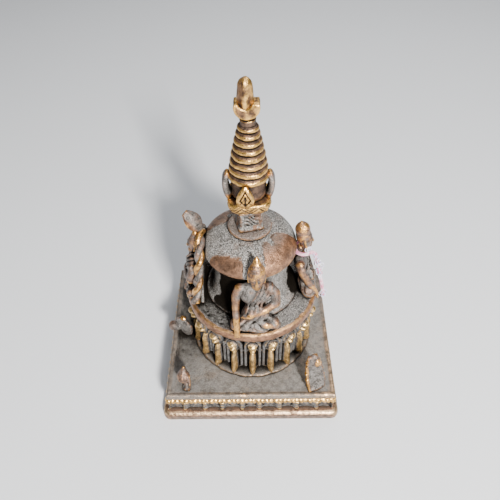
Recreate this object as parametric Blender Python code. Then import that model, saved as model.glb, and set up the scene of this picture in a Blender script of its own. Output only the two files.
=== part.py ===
"""A small cast brass votive stupa, 81 mm square and 146 mm tall.

The square plinth carries a round lotus pedestal, a platform disc, a vase-shaped dome, a small
square box with its cornice and four leaves, and a ringed spire with a crescent and a bud. Four
seated figures face the four sides, the left one before an arched backplate with a rope border.
Small leaf ornaments stand on the deck, and a thread is tied round the right figure's neck.

Frame: metres, +Z up, origin under the middle of the plinth, the front faces -Y.
"""

import math

import bmesh
import bpy
from mathutils import Matrix, Vector

MM = 0.001

# Clearance that neighbouring castings keep
GAP = 0.3 * MM

# Plinth: half widths, and heights above the ground
FOOT_HALF = 40.5 * MM
FOOT_TOP = 5.0 * MM
FRIEZE_HALF = 37.2 * MM
FRIEZE_TOP = 11.2 * MM
BEAD_HALF = 38.7 * MM
BEAD_Z = 12.7 * MM
MOULDING_TOP = 14.1 * MM
DECK_HALF = 37.8 * MM
DECK_TOP = 17.1 * MM
DECK_BORDER = 1.8 * MM
DECK_RIDGE = 0.35 * MM
WALL_INNER_HALF = 34.3 * MM
CORNER_RADIUS = 3.6 * MM
CORNER_STEPS = 3
BOSSES_PER_SIDE = 9
BOSS_HEIGHT = 1.0 * MM

# Lotus pedestal, which sits a little to the right of the plinth's middle
PEDESTAL_X = 1.0 * MM
PETALS = 20
LOTUS_FOOT_RADIUS = 28.4 * MM
LOTUS_FOOT_TOP = 18.2 * MM
LOTUS_CORE_RADIUS = 25.4 * MM
LOWER_PETAL_TOP = 34.0 * MM
UPPER_PETAL_TOP = 46.4 * MM
POINTS_PER_PETAL = 6
PEDESTAL = (PEDESTAL_X, 0.0)

# Platform disc
PLATFORM_RIM_RADIUS = 28.8 * MM
PLATFORM_TOP_RADIUS = 27.1 * MM
PLATFORM_TOP = 50.0 * MM

# Vase, its shoulder and the collar on it
VASE_FOOT_RADIUS = 20.0 * MM
VASE_WAIST_RADIUS = 15.8 * MM
VASE_TOP = 73.4 * MM
LIP_RADIUS = 19.3 * MM
LIP_Z = 75.3 * MM
SHOULDER_TOP = 84.6 * MM
COLLAR_RADIUS = 8.8 * MM
COLLAR_TOP = 86.2 * MM

# Square box and cornice, which sit a little to the left of the pedestal's axis
BOX_X = 0.0 * MM
BOX_HALF = 4.5 * MM
BOX_TOP = 95.9 * MM
BOX_TURN = math.radians(13.0)
CORNICE_HALF = 8.3 * MM
CORNICE_TOP = 101.5 * MM
CORNICE_TURN = math.radians(4.0)
LEAF_HEIGHT = 10.0 * MM
LEAF_HALF_WIDTH = 3.4 * MM
LEAF_THICKNESS = 1.3 * MM
FRONT_LEAF_SHIFT = -1.2 * MM

# Spire and finial. The rings run from a smooth foot up to a plain neck
RINGS = 8
SPIRE_FOOT_TOP = 109.0 * MM
SPIRE_FOOT_RADIUS = 6.5 * MM
RINGS_TOP = 130.4 * MM
SPIRE_TOP = 132.3 * MM
LOW_RING_RADIUS = 7.6 * MM
TOP_RING_RADIUS = 3.5 * MM
RING_DEPTH = 0.8 * MM
LOW_RING_TALLER = 1.3
CRESCENT_X = -0.1 * MM
CRESCENT_RADIUS = 4.5 * MM
CRESCENT_HORN_Z = 137.6 * MM
CRESCENT_THICKNESS = 3.8 * MM
BUD_X = -0.25 * MM
BUD_RADIUS = 2.8 * MM
BUD_TOP = 146.0 * MM

# Seated figures, as one that faces -Y: distances outwards from the pedestal's axis, and heights
FIGURE_BACK = 20.6 * MM
FIGURE_FRONT = 27.0 * MM
FIGURE_LEAN = 2.6 * MM
KNEE_HALF = 10.0 * MM
NECK_OUT = 21.3 * MM
HEAD_HALF_WIDTH = 3.4 * MM
HEAD_BOTTOM = 71.2 * MM
HEAD_TOP = 87.9 * MM
FRONT_FIGURE_SHIFT = 1.1 * MM
FRONT_HEAD_SHIFT = 0.6 * MM
LEFT_FIGURE_OUT = 1.7 * MM
LEFT_HEAD_OUT = 2.8 * MM
LEFT_HEAD_TOP = 83.2 * MM

# Arched backplate behind the left figure, in the same frame
BACKPLATE_OUT = 21.0 * MM
BACKPLATE_THICKNESS = 1.0 * MM
ROPE_RADIUS = 1.9 * MM
ROPE_SIDES = 8
ROPE_ROUTE = (
    (12.6 * MM, 24.1 * MM, 52.4 * MM),
    (12.0 * MM, 23.2 * MM, 57.0 * MM),
    (11.1 * MM, 22.1 * MM, 63.0 * MM),
    (9.2 * MM, 21.1 * MM, 72.0 * MM),
    (5.6 * MM, 20.6 * MM, 78.6 * MM),
    (0.0 * MM, 20.5 * MM, 81.2 * MM),
)
BACKPLATE_LEAF_HEIGHT = 9.0 * MM
BACKPLATE_LEAF_OUT = 5.0 * MM
BACKPLATE_LEAF_HALF_WIDTH = 4.3 * MM

# Leaf ornaments on the deck: place of the foot, turn of the face from -Y, height, half width,
# radius of the knob, and the knob's place along the leaf and across it
DECK_LEAVES = (
    ("front_right", 29.5 * MM, -33.6 * MM, 24.0, 16.6 * MM, 4.4 * MM, 1.9 * MM, 0.78, 1.6 * MM),
    ("front_left", -29.6 * MM, -33.4 * MM, -24.0, 12.4 * MM, 3.6 * MM, 3.2 * MM, 0.72, -0.6 * MM),
    ("left", -32.4 * MM, -4.4 * MM, -30.0, 11.0 * MM, 3.8 * MM, 2.4 * MM, 0.62, -4.4 * MM),
    ("back_left", -29.5 * MM, 33.6 * MM, -156.0, 16.6 * MM, 4.4 * MM, 1.9 * MM, 0.78, 1.6 * MM),
    ("back_right", 29.5 * MM, 33.6 * MM, 156.0, 16.6 * MM, 4.4 * MM, 1.9 * MM, 0.78, -1.6 * MM),
)
DECK_LEAF_LEAN = 0.4

# Thread round the right figure's neck: its route runs from the knot round the neck and down
THREAD_RADIUS = 0.8 * MM
THREAD_LOOP_RADIUS = 3.5 * MM
THREAD_LOOP_Z = 71.9 * MM
THREAD_LOOP_START = 25.0
THREAD_LOOP_SWEEP = 280.0
THREAD_TAIL = (
    (-2.0 * MM, 24.9 * MM, 71.6 * MM),
    (-1.9 * MM, 26.0 * MM, 70.2 * MM),
    (-2.7 * MM, 27.0 * MM, 67.2 * MM),
    (-3.8 * MM, 28.1 * MM, 63.2 * MM),
    (-4.8 * MM, 29.2 * MM, 58.6 * MM),
    (-5.5 * MM, 30.3 * MM, 53.8 * MM),
    (-6.0 * MM, 31.2 * MM, 48.6 * MM),
)


def clear_scene():
    for item in list(bpy.data.objects):
        bpy.data.objects.remove(item, do_unlink=True)


def make_material(name, colour, roughness, metallic):
    material = bpy.data.materials.new(name)
    material.use_nodes = True
    shader = material.node_tree.nodes["Principled BSDF"]
    shader.inputs["Base Color"].default_value = (*colour, 1.0)
    shader.inputs["Roughness"].default_value = roughness
    shader.inputs["Metallic"].default_value = metallic
    return material


def finish_object(name, bm, material, smooth=True):
    """Turn a closed bmesh into a named object with outward faces."""
    bmesh.ops.recalc_face_normals(bm, faces=bm.faces)
    mesh = bpy.data.meshes.new(name)
    bm.to_mesh(mesh)
    bm.free()
    if smooth:
        mesh.shade_smooth()
        mesh.set_sharp_from_angle(angle=math.radians(40))
    item = bpy.data.objects.new(name, mesh)
    bpy.context.collection.objects.link(item)
    mesh.materials.append(material)
    return item


def skin_rings(rings):
    """Skin a stack of equal rings and close both ends."""
    bm = bmesh.new()
    rows = [[bm.verts.new(point) for point in ring] for ring in rings]
    count = len(rings[0])
    for low, high in zip(rows, rows[1:]):
        for k in range(count):
            after = (k + 1) % count
            bm.faces.new((low[k], low[after], high[after], high[k]))
    for row in (rows[0], rows[-1]):
        middle = bm.verts.new(sum((v.co for v in row), Vector()) / count)
        for k in range(count):
            bm.faces.new((row[k], row[(k + 1) % count], middle))
    return bm


def circle(radius, z, segments, centre=(0.0, 0.0)):
    angles = [2 * math.pi * k / segments for k in range(segments)]
    return [
        Vector((centre[0] + radius * math.cos(a), centre[1] + radius * math.sin(a), z))
        for a in angles
    ]


def turned(name, profile, segments, material, centre=(0.0, 0.0)):
    """A turned piece: profile holds (radius, z) from the bottom to the top."""
    rings = [circle(radius, z, segments, centre) for radius, z in profile]
    return finish_object(name, skin_rings(rings), material)


def arc(radius, z, amount, start, end, steps):
    """Profile points on an arc about (radius, z), angles in degrees from the outward direction."""
    points = []
    for k in range(steps + 1):
        angle = math.radians(start + (end - start) * k / steps)
        points.append((radius + amount * math.cos(angle), z + amount * math.sin(angle)))
    return points


def union(name, parts, material):
    """Fuse overlapping closed objects into one named object."""
    first = parts[0]
    for other in parts[1:]:
        fuse = first.modifiers.new("fuse", "BOOLEAN")
        fuse.operation = "UNION"
        fuse.object = other
    depsgraph = bpy.context.evaluated_depsgraph_get()
    mesh = bpy.data.meshes.new_from_object(first.evaluated_get(depsgraph))
    for part in parts:
        bpy.data.objects.remove(part, do_unlink=True)
    mesh.name = name
    mesh.materials.clear()
    mesh.materials.append(material)
    mesh.shade_smooth()
    mesh.set_sharp_from_angle(angle=math.radians(40))
    item = bpy.data.objects.new(name, mesh)
    bpy.context.collection.objects.link(item)
    return item


def corner_radius(half):
    return max(CORNER_RADIUS - (FOOT_HALF - half), 0.2 * MM)


def rounded_square(half, z):
    """A closed rounded square of the plinth, as wide as 2 * half."""
    radius = corner_radius(half)
    reach = half - radius
    ring = []
    for corner in range(4):
        cx = reach if corner in (0, 3) else -reach
        cy = reach if corner in (0, 1) else -reach
        for k in range(CORNER_STEPS + 1):
            angle = math.radians(90 * corner + 90 * k / CORNER_STEPS)
            ring.append(Vector((cx + radius * math.cos(angle), cy + radius * math.sin(angle), z)))
    return ring


def side_bar(name, profile, turn, material, bosses=0):
    """One mitred side of the plinth. The profile holds (half width, z, boss share)."""
    clearance = GAP / math.sqrt(2)
    rings = []
    for angle in (225.0, 247.5, 270.0):
        ring = []
        for half, z, _ in profile:
            radius = corner_radius(half)
            a = math.radians(angle)
            x = -(half - radius) + radius * math.cos(a) + clearance
            y = -(half - radius) + radius * math.sin(a)
            ring.append(Vector((x, y, z)))
        rings.append(ring)
    left = list(rings)
    spacing = 2 * FRIEZE_HALF / (bosses + 1) if bosses else 0.0
    for k in range(bosses):
        x = -FRIEZE_HALF + spacing * (k + 1)
        for step, rise in ((-0.28, 0.0), (0.0, 1.0), (0.28, 0.0)):
            rings.append([
                Vector((x + step * spacing, -(half + share * rise * BOSS_HEIGHT), z))
                for half, z, share in profile
            ])
    rings += [[Vector((-p.x, p.y, p.z)) for p in ring] for ring in reversed(left)]
    item = finish_object(name, skin_rings(rings), material, smooth=False)
    item.rotation_euler.z = turn
    return item


def make_plinth(brass, copper):
    foot = [
        (WALL_INNER_HALF, 0.0, 0),
        (FOOT_HALF - 0.5 * MM, 0.0, 0),
        (FOOT_HALF, 0.6 * MM, 0),
        (FOOT_HALF, FOOT_TOP - 1.2 * MM, 0),
        (FOOT_HALF - 0.4 * MM, FOOT_TOP - 0.3 * MM, 0),
        (FOOT_HALF - 1.2 * MM, FOOT_TOP, 0),
        (WALL_INNER_HALF, FOOT_TOP, 0),
    ]
    low = FOOT_TOP + GAP
    tall = FRIEZE_TOP - low
    frieze = [
        (WALL_INNER_HALF, low, 0),
        (FRIEZE_HALF, low, 0),
        (FRIEZE_HALF, low + 0.25 * tall, 0.3),
        (FRIEZE_HALF, low + 0.5 * tall, 1.0),
        (FRIEZE_HALF, low + 0.75 * tall, 0.3),
        (FRIEZE_HALF, FRIEZE_TOP, 0),
        (WALL_INNER_HALF, FRIEZE_TOP, 0),
    ]
    bottom = FRIEZE_TOP + GAP
    moulding = [
        (WALL_INNER_HALF, bottom, 0),
        (BEAD_HALF - 1.0 * MM, bottom, 0),
        (BEAD_HALF - 0.3 * MM, BEAD_Z - 0.7 * MM, 0),
        (BEAD_HALF, BEAD_Z, 0),
        (BEAD_HALF - 0.3 * MM, BEAD_Z + 0.7 * MM, 0),
        (BEAD_HALF - 0.7 * MM, MOULDING_TOP, 0),
        (WALL_INNER_HALF, MOULDING_TOP, 0),
    ]
    for k, side in enumerate(("front", "right", "back", "left")):
        turn = k * math.pi / 2
        side_bar(f"plinth_foot_{side}", foot, turn, copper)
        side_bar(f"plinth_frieze_{side}", frieze, turn, brass, BOSSES_PER_SIDE)
        side_bar(f"plinth_moulding_{side}", moulding, turn, brass)
    base = MOULDING_TOP + GAP
    deck = [
        (DECK_HALF - 0.4 * MM, base),
        (DECK_HALF, base + 0.5 * MM),
        (DECK_HALF - 0.2 * MM, DECK_TOP - 0.5 * MM),
        (DECK_HALF - 0.6 * MM, DECK_TOP + DECK_RIDGE - 0.2 * MM),
        (DECK_HALF - 1.0 * MM, DECK_TOP + DECK_RIDGE),
        (DECK_HALF - DECK_BORDER, DECK_TOP),
    ]
    rings = [rounded_square(half, z) for half, z in deck]
    finish_object("plinth_deck", skin_rings(rings), copper)


def petal_ring(name, levels, material):
    """A ring of petals. Each level holds (z, groove radius, crest radius, sharpness)."""
    count = PETALS * POINTS_PER_PETAL
    rings = []
    for z, groove, crest, sharpness in levels:
        ring = []
        for k in range(count):
            angle = 2 * math.pi * k / count - math.pi / 2
            crown = abs(math.cos(PETALS * (angle + math.pi / 2) / 2)) ** sharpness
            radius = groove + (crest - groove) * crown
            ring.append(Vector((PEDESTAL_X + radius * math.cos(angle), radius * math.sin(angle), z)))
        rings.append(ring)
    return finish_object(name, skin_rings(rings), material)


def make_lotus(brass, copper):
    foot = [
        (LOTUS_FOOT_RADIUS - 0.4 * MM, DECK_TOP + GAP),
        (LOTUS_FOOT_RADIUS, DECK_TOP + GAP + 0.4 * MM),
        (LOTUS_FOOT_RADIUS - 0.3 * MM, LOTUS_FOOT_TOP - 0.3 * MM),
        (LOTUS_FOOT_RADIUS - 1.0 * MM, LOTUS_FOOT_TOP),
    ]
    turned("lotus_foot", foot, 60, copper, centre=PEDESTAL)
    core = LOTUS_CORE_RADIUS
    base = LOTUS_FOOT_TOP + GAP
    lower = [
        (base, core - 0.9 * MM, core + 1.6 * MM, 2.2),
        (base + 1.6 * MM, core - 0.5 * MM, core + 2.2 * MM, 1.4),
        (base + 4.6 * MM, core, core + 1.8 * MM, 0.9),
        (base + 8.6 * MM, core + 0.2 * MM, core + 1.6 * MM, 0.8),
        (base + 12.6 * MM, core + 0.4 * MM, core + 1.6 * MM, 0.9),
        (LOWER_PETAL_TOP, core + 0.5 * MM, core + 1.0 * MM, 1.0),
    ]
    petal_ring("lotus_lower_petals", lower, brass)
    base = LOWER_PETAL_TOP + GAP
    upper = [
        (base, core + 0.5 * MM, core + 1.2 * MM, 1.5),
        (base + 1.4 * MM, core + 0.7 * MM, core + 2.4 * MM, 1.8),
        (base + 3.3 * MM, core + 0.8 * MM, core + 1.9 * MM, 1.2),
        (base + 5.7 * MM, core + 1.0 * MM, core + 3.4 * MM, 1.0),
        (base + 7.5 * MM, core + 1.2 * MM, core + 3.9 * MM, 0.9),
        (base + 9.6 * MM, core + 1.6 * MM, core + 3.1 * MM, 1.0),
        (UPPER_PETAL_TOP, core + 1.8 * MM, core + 2.2 * MM, 1.0),
    ]
    petal_ring("lotus_upper_petals", upper, brass)


def make_platform(copper):
    base = UPPER_PETAL_TOP + GAP
    profile = [(PLATFORM_TOP_RADIUS, base)]
    profile += arc(PLATFORM_RIM_RADIUS - 1.0 * MM, base + 1.1 * MM, 1.0 * MM, -50, 90, 4)
    profile += [
        (PLATFORM_TOP_RADIUS + 0.4 * MM, PLATFORM_TOP - 0.5 * MM),
        (PLATFORM_TOP_RADIUS, PLATFORM_TOP),
    ]
    turned("platform_disc", profile, 64, copper, centre=PEDESTAL)


def make_vase(brass, copper):
    base = PLATFORM_TOP + GAP
    body = [
        (VASE_FOOT_RADIUS - 0.5 * MM, base),
        (VASE_FOOT_RADIUS, base + 0.6 * MM),
        (VASE_FOOT_RADIUS - 0.4 * MM, base + 1.6 * MM),
        (VASE_WAIST_RADIUS + 2.2 * MM, base + 3.0 * MM),
        (VASE_WAIST_RADIUS + 0.6 * MM, base + 7.0 * MM),
        (VASE_WAIST_RADIUS, base + 13.0 * MM),
        (VASE_WAIST_RADIUS + 0.4 * MM, VASE_TOP),
    ]
    turned("vase_body", body, 40, copper, centre=PEDESTAL)
    shoulder = [
        (LIP_RADIUS - 1.2 * MM, VASE_TOP + GAP),
        (LIP_RADIUS - 0.3 * MM, VASE_TOP + 0.8 * MM),
        (LIP_RADIUS, LIP_Z),
    ]
    tall = SHOULDER_TOP - LIP_Z
    for k in range(1, 6):
        angle = math.radians(80 * k / 5)
        shoulder.append((LIP_RADIUS * math.cos(angle) ** 0.62, LIP_Z + tall * math.sin(angle)))
    shoulder[-1] = (shoulder[-1][0], SHOULDER_TOP)
    turned("vase_shoulder", shoulder, 48, brass, centre=PEDESTAL)
    collar = [
        (COLLAR_RADIUS - 0.4 * MM, SHOULDER_TOP + GAP),
        (COLLAR_RADIUS, SHOULDER_TOP + 0.8 * MM),
        (COLLAR_RADIUS - 0.3 * MM, COLLAR_TOP - 0.2 * MM),
        (COLLAR_RADIUS - 0.8 * MM, COLLAR_TOP),
    ]
    turned("dome_collar", collar, 36, copper, centre=((PEDESTAL_X + BOX_X) / 2, 0.0))


def square_ring(half, z, power, turn, segments, lift=0.0):
    """A ring between a circle (power 2) and a square (high power), with its corners raised by lift."""
    ring = []
    for k in range(segments):
        angle = 2 * math.pi * (k + 0.5) / segments
        c = math.cos(angle)
        s = math.sin(angle)
        reach = half / (abs(c) ** power + abs(s) ** power) ** (1 / power)
        corner = abs(math.sin(2 * angle)) ** 3
        ring.append(Vector((
            BOX_X + reach * math.cos(angle + turn),
            reach * math.sin(angle + turn),
            z + lift * corner,
        )))
    return ring


def make_box_and_cornice(brass, copper):
    box = [
        (BOX_HALF + 0.5 * MM, COLLAR_TOP + GAP),
        (BOX_HALF + 0.5 * MM, COLLAR_TOP + 1.4 * MM),
        (BOX_HALF, COLLAR_TOP + 1.8 * MM),
        (BOX_HALF, BOX_TOP - 1.4 * MM),
        (BOX_HALF + 0.4 * MM, BOX_TOP - 1.0 * MM),
        (BOX_HALF + 0.4 * MM, BOX_TOP),
    ]
    rings = [square_ring(half, z, 14, BOX_TURN, 16) for half, z in box]
    finish_object("harmika_box", skin_rings(rings), copper, smooth=False)
    base = BOX_TOP + GAP
    tray = [
        (BOX_HALF + 0.6 * MM, base, 0.0),
        (CORNICE_HALF - 1.4 * MM, base + 0.9 * MM, 0.0),
        (CORNICE_HALF - 0.3 * MM, base + 2.6 * MM, 0.2 * MM),
        (CORNICE_HALF, CORNICE_TOP - 1.2 * MM, 0.4 * MM),
        (CORNICE_HALF - 0.3 * MM, CORNICE_TOP - 0.2 * MM, 0.5 * MM),
        (CORNICE_HALF - 1.2 * MM, CORNICE_TOP, 0.0),
    ]
    rings = [square_ring(half, z, 3.6, CORNICE_TURN, 32, lift) for half, z, lift in tray]
    finish_object("harmika_cornice", skin_rings(rings), brass)


def leaf_rings(path, widths, thickness):
    """Rings of a bent leaf. The path holds (outward, height), with a half width for each point."""
    rings = []
    for k, (out, z) in enumerate(path):
        before = path[max(k - 1, 0)]
        after = path[min(k + 1, len(path) - 1)]
        along = Vector((after[0] - before[0], after[1] - before[1])).normalized()
        half = thickness / 2
        ring = []
        for side, through in ((-1, 0), (-0.6, -1), (0.6, -1), (1, 0), (0.6, 1), (-0.6, 1)):
            ring.append(Vector((
                side * widths[k],
                -(out - through * half * along.y),
                z + through * half * along.x,
            )))
        rings.append(ring)
    return rings


def make_cornice_leaves(brass):
    """Four leaves that stand on the cornice and curve outwards."""
    rows = 8
    for k, side in enumerate(("front", "right", "back", "left")):
        path = []
        widths = []
        for row in range(rows):
            share = row / (rows - 1)
            out = CORNICE_HALF - 0.6 * MM + 1.7 * MM * math.sin(math.pi * share)
            path.append((out, CORNICE_TOP + GAP + LEAF_HEIGHT * share))
            swell = math.sin(math.pi * (0.2 + 0.8 * share)) ** 0.7
            widths.append(max(LEAF_HALF_WIDTH * swell, 0.3 * MM))
        rings = leaf_rings(path, widths, LEAF_THICKNESS)
        shift = FRONT_LEAF_SHIFT if side == "front" else 0.0
        for ring in rings:
            for point in ring:
                point.x += shift
        leaf = finish_object(f"leaf_{side}", skin_rings(rings), brass)
        leaf.location.x = BOX_X
        leaf.rotation_euler.z = k * math.pi / 2


def ring_edges():
    """Heights where one spire ring ends and the next begins. The low rings are taller."""
    weights = [LOW_RING_TALLER - (LOW_RING_TALLER - 1.0) * k / (RINGS - 1) for k in range(RINGS)]
    edges = [SPIRE_FOOT_TOP]
    for weight in weights:
        edges.append(edges[-1] + (RINGS_TOP - SPIRE_FOOT_TOP) * weight / sum(weights))
    return edges


def ring_radius(z):
    share = (z - SPIRE_FOOT_TOP) / (RINGS_TOP - SPIRE_FOOT_TOP)
    return LOW_RING_RADIUS - (LOW_RING_RADIUS - TOP_RING_RADIUS) * share ** 1.35


def make_spire(brass):
    low = CORNICE_TOP + GAP
    profile = [
        (SPIRE_FOOT_RADIUS - 0.5 * MM, low),
        (SPIRE_FOOT_RADIUS, low + 1.5 * MM),
        (SPIRE_FOOT_RADIUS, SPIRE_FOOT_TOP - 0.6 * MM),
    ]
    edges = ring_edges()
    for start, end in zip(edges, edges[1:]):
        tall = end - start
        radius = ring_radius(start + tall / 2)
        profile.append((radius - RING_DEPTH, start + 0.04 * tall))
        profile.append((radius, start + 0.3 * tall))
        profile.append((radius - 0.1 * MM, start + 0.6 * tall))
        profile.append((radius - RING_DEPTH, start + 0.96 * tall))
    neck = TOP_RING_RADIUS - 0.6 * MM
    profile.append((neck, RINGS_TOP + 0.4 * MM))
    profile.append((neck, SPIRE_TOP))
    turned("spire", profile, 24, brass, centre=(BOX_X, 0.0))


def make_finial(brass, copper):
    """A crescent with its horns up, and the blunt bud that it cradles."""
    steps = 12
    floor = SPIRE_TOP + GAP
    middle_z = floor + CRESCENT_RADIUS
    seat = floor + 1.5 * MM
    rings = []
    for k in range(steps + 1):
        share = 2 * k / steps - 1
        angle = math.radians(-90 + 93 * share)
        outer = Vector((CRESCENT_RADIUS * math.cos(angle), 0.0, middle_z + CRESCENT_RADIUS * math.sin(angle)))
        horn = abs(share) ** 1.5
        inner_x = outer.x * (0.64 + 0.1 * horn)
        inner_z = seat + (CRESCENT_HORN_Z - seat) * abs(share) ** 2.2
        half = CRESCENT_THICKNESS / 2
        outer.z = min(outer.z, CRESCENT_HORN_Z - 0.4 * MM)
        rings.append([
            Vector((outer.x, -half, outer.z)),
            Vector((outer.x, half, outer.z)),
            Vector((inner_x, half, inner_z)),
            Vector((inner_x, -half, inner_z)),
        ])
    crescent = finish_object("finial_crescent", skin_rings(rings), brass)
    crescent.location.x = CRESCENT_X
    low = seat + GAP
    tall = BUD_TOP - low
    bud = [(BUD_RADIUS * width, low + tall * share) for width, share in (
        (0.3, 0.0), (0.62, 0.06), (0.8, 0.15), (0.94, 0.28))]
    for k in range(8):
        angle = math.radians(90 * k / 7)
        share = 0.42 + 0.58 * math.sin(angle)
        bud.append((BUD_RADIUS * math.cos(angle) ** 0.45 + 0.05 * MM, low + tall * share))
    turned("finial_bud", bud, 20, copper, centre=(BUD_X, 0.0))


def oval(half_x, front, back, z, segments, power=2.4, centre_x=0.0):
    """An oval ring of a figure that faces -Y, between y = front and y = back."""
    ring = []
    middle = (front + back) / 2
    half_y = (back - front) / 2
    for k in range(segments):
        angle = 2 * math.pi * k / segments
        c = math.cos(angle)
        s = math.sin(angle)
        x = half_x * math.copysign(abs(c) ** (2 / power), c)
        y = half_y * math.copysign(abs(s) ** (2 / power), s)
        ring.append(Vector((centre_x + x, middle + y, z)))
    return ring


def limb(points, radii, segments):
    """Rings of a tapering limb along a bent line of points, each ring turned as the one before it."""
    rings = []
    side = None
    for k, point in enumerate(points):
        before = Vector(points[max(k - 1, 0)])
        after = Vector(points[min(k + 1, len(points) - 1)])
        along = (after - before).normalized()
        if side is None:
            side = along.orthogonal()
        side = (side - along * side.dot(along)).normalized()
        other = along.cross(side)
        ring = []
        for j in range(segments):
            angle = 2 * math.pi * j / segments
            ring.append(Vector(point) + radii[k] * (math.cos(angle) * side + math.sin(angle) * other))
        rings.append(ring)
    return rings


def figure_body(name, lean, material):
    """A seated figure's body, facing -Y: crossed legs, torso, one arm down and one in the lap.

    The shoulders lean back by the given distance.
    """
    base = PLATFORM_TOP + GAP
    back = -FIGURE_BACK
    front = -FIGURE_FRONT
    legs = [
        oval(KNEE_HALF - 1.0 * MM, front + 0.5 * MM, back - 0.4 * MM, base, 20),
        oval(KNEE_HALF, front, back, base + 1.6 * MM, 20),
        oval(KNEE_HALF - 0.2 * MM, front + 0.2 * MM, back, base + 3.8 * MM, 20),
        oval(KNEE_HALF - 2.0 * MM, front + 1.0 * MM, back, base + 5.8 * MM, 20),
        oval(KNEE_HALF - 4.4 * MM, front + 2.2 * MM, back - 0.3 * MM, base + 7.0 * MM, 20),
    ]
    torso = []
    for half_x, z, share in ((5.4, 3.0, 0.0), (5.0, 9.0, 0.3), (5.6, 14.0, 0.7), (6.6, 17.6, 1.0),
                             (4.8, 19.8, 0.95), (2.2, 20.6, 0.7)):
        middle = back + lean * share
        torso.append(oval(half_x * MM, middle - 4.5 * MM, middle - 0.45 * MM, base + z * MM, 16))
    right_arm = limb(
        [(x * MM, back - y * MM + lean * share, base + z * MM) for x, y, z, share in (
            (-6.2, 2.3, 18.2, 1.0), (-7.4, 2.5, 14.6, 0.8), (-7.7, 3.6, 10.4, 0.5),
            (-7.5, 5.0, 6.2, 0.2), (-7.3, 6.7, 2.4, 0.0), (-7.2, 7.8, -0.8, 0.0))],
        [1.7 * MM, 2.0 * MM, 1.9 * MM, 1.7 * MM, 1.4 * MM, 0.9 * MM], 8)
    left_arm = limb(
        [(x * MM, back - y * MM + lean * share, base + z * MM) for x, y, z, share in (
            (6.2, 2.3, 18.2, 1.0), (7.9, 2.4, 15.2, 0.8), (7.9, 3.2, 12.6, 0.5),
            (3.2, 4.3, 11.0, 0.2), (-2.8, 4.9, 9.6, 0.1))],
        [1.7 * MM, 2.1 * MM, 1.9 * MM, 1.7 * MM, 1.3 * MM], 8)
    pieces = [
        finish_object(f"figure_piece_{k}", skin_rings(rings), material)
        for k, rings in enumerate((torso, legs, right_arm, left_arm))
    ]
    return union(name, pieces, material)


def figure_head(name, rows, material):
    """A plain head with its topknot, facing -Y. Rows hold (height share, width share, back, front)."""
    rings = []
    for share, width, back, front in rows:
        z = HEAD_BOTTOM + (HEAD_TOP - HEAD_BOTTOM) * share
        rings.append(oval(HEAD_HALF_WIDTH * width, -front * MM, -back * MM, z, 14, 2.0))
    return finish_object(name, skin_rings(rings), material)


def head_rows(top_share, upright):
    """The head's rows up to a share of its full height. Upright heads don't lean back over the dome."""
    rows = ((0.0, 0.5, 19.9, 22.9), (0.12, 0.68, 19.9, 23.6), (0.25, 0.95, 19.8, 24.2),
            (0.40, 1.0, 19.3, 24.4), (0.55, 0.96, 18.7, 24.2), (0.70, 0.74, 18.2, 23.0),
            (0.84, 0.5, 18.4, 21.6), (0.94, 0.3, 18.8, 20.8), (1.0, 0.12, 19.4, 20.2))
    if not upright:
        return rows
    return [
        (share * top_share, width, max(back, 20.0), max(front - 1.0, 20.7))
        for share, width, back, front in rows
    ]


def face_side(item, quarter_turns, shift_x=0.0, shift_out=0.0):
    """Turn a piece modelled at the front to another side of the pedestal, with its small shift."""
    turn = Matrix.Rotation(quarter_turns * math.pi / 2, 4, "Z")
    shift = Matrix.Translation((shift_x, -shift_out, 0.0))
    item.matrix_world = Matrix.Translation((PEDESTAL_X, 0.0, 0.0)) @ turn @ shift


def make_figures(brass):
    left_share = (LEFT_HEAD_TOP - HEAD_BOTTOM) / (HEAD_TOP - HEAD_BOTTOM)
    for k, side in enumerate(("front", "right", "back", "left")):
        before_plate = side == "left"
        body = figure_body(f"figure_{side}_body", 0.0 if before_plate else FIGURE_LEAN, brass)
        head = figure_head(f"figure_{side}_head", head_rows(left_share, before_plate), brass)
        shift_x = FRONT_FIGURE_SHIFT if side == "front" else 0.0
        head_shift = FRONT_HEAD_SHIFT if side == "front" else 0.0
        face_side(body, k, shift_x, LEFT_FIGURE_OUT if before_plate else 0.0)
        face_side(head, k, shift_x + head_shift, LEFT_HEAD_OUT if before_plate else 0.0)


def smooth_route(points, steps):
    """Points on a smooth curve through the given ones."""
    route = []
    count = len(points)
    for k in range(count - 1):
        before = points[max(k - 1, 0)]
        start = points[k]
        end = points[k + 1]
        after = points[min(k + 2, count - 1)]
        for j in range(steps):
            t = j / steps
            route.append(tuple(
                0.5 * (2 * b + (c - a) * t + (2 * a - 5 * b + 4 * c - d) * t * t
                       + (3 * b - a - 3 * c + d) * t ** 3)
                for a, b, c, d in zip(before, start, end, after)
            ))
    route.append(tuple(points[-1]))
    return route


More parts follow.
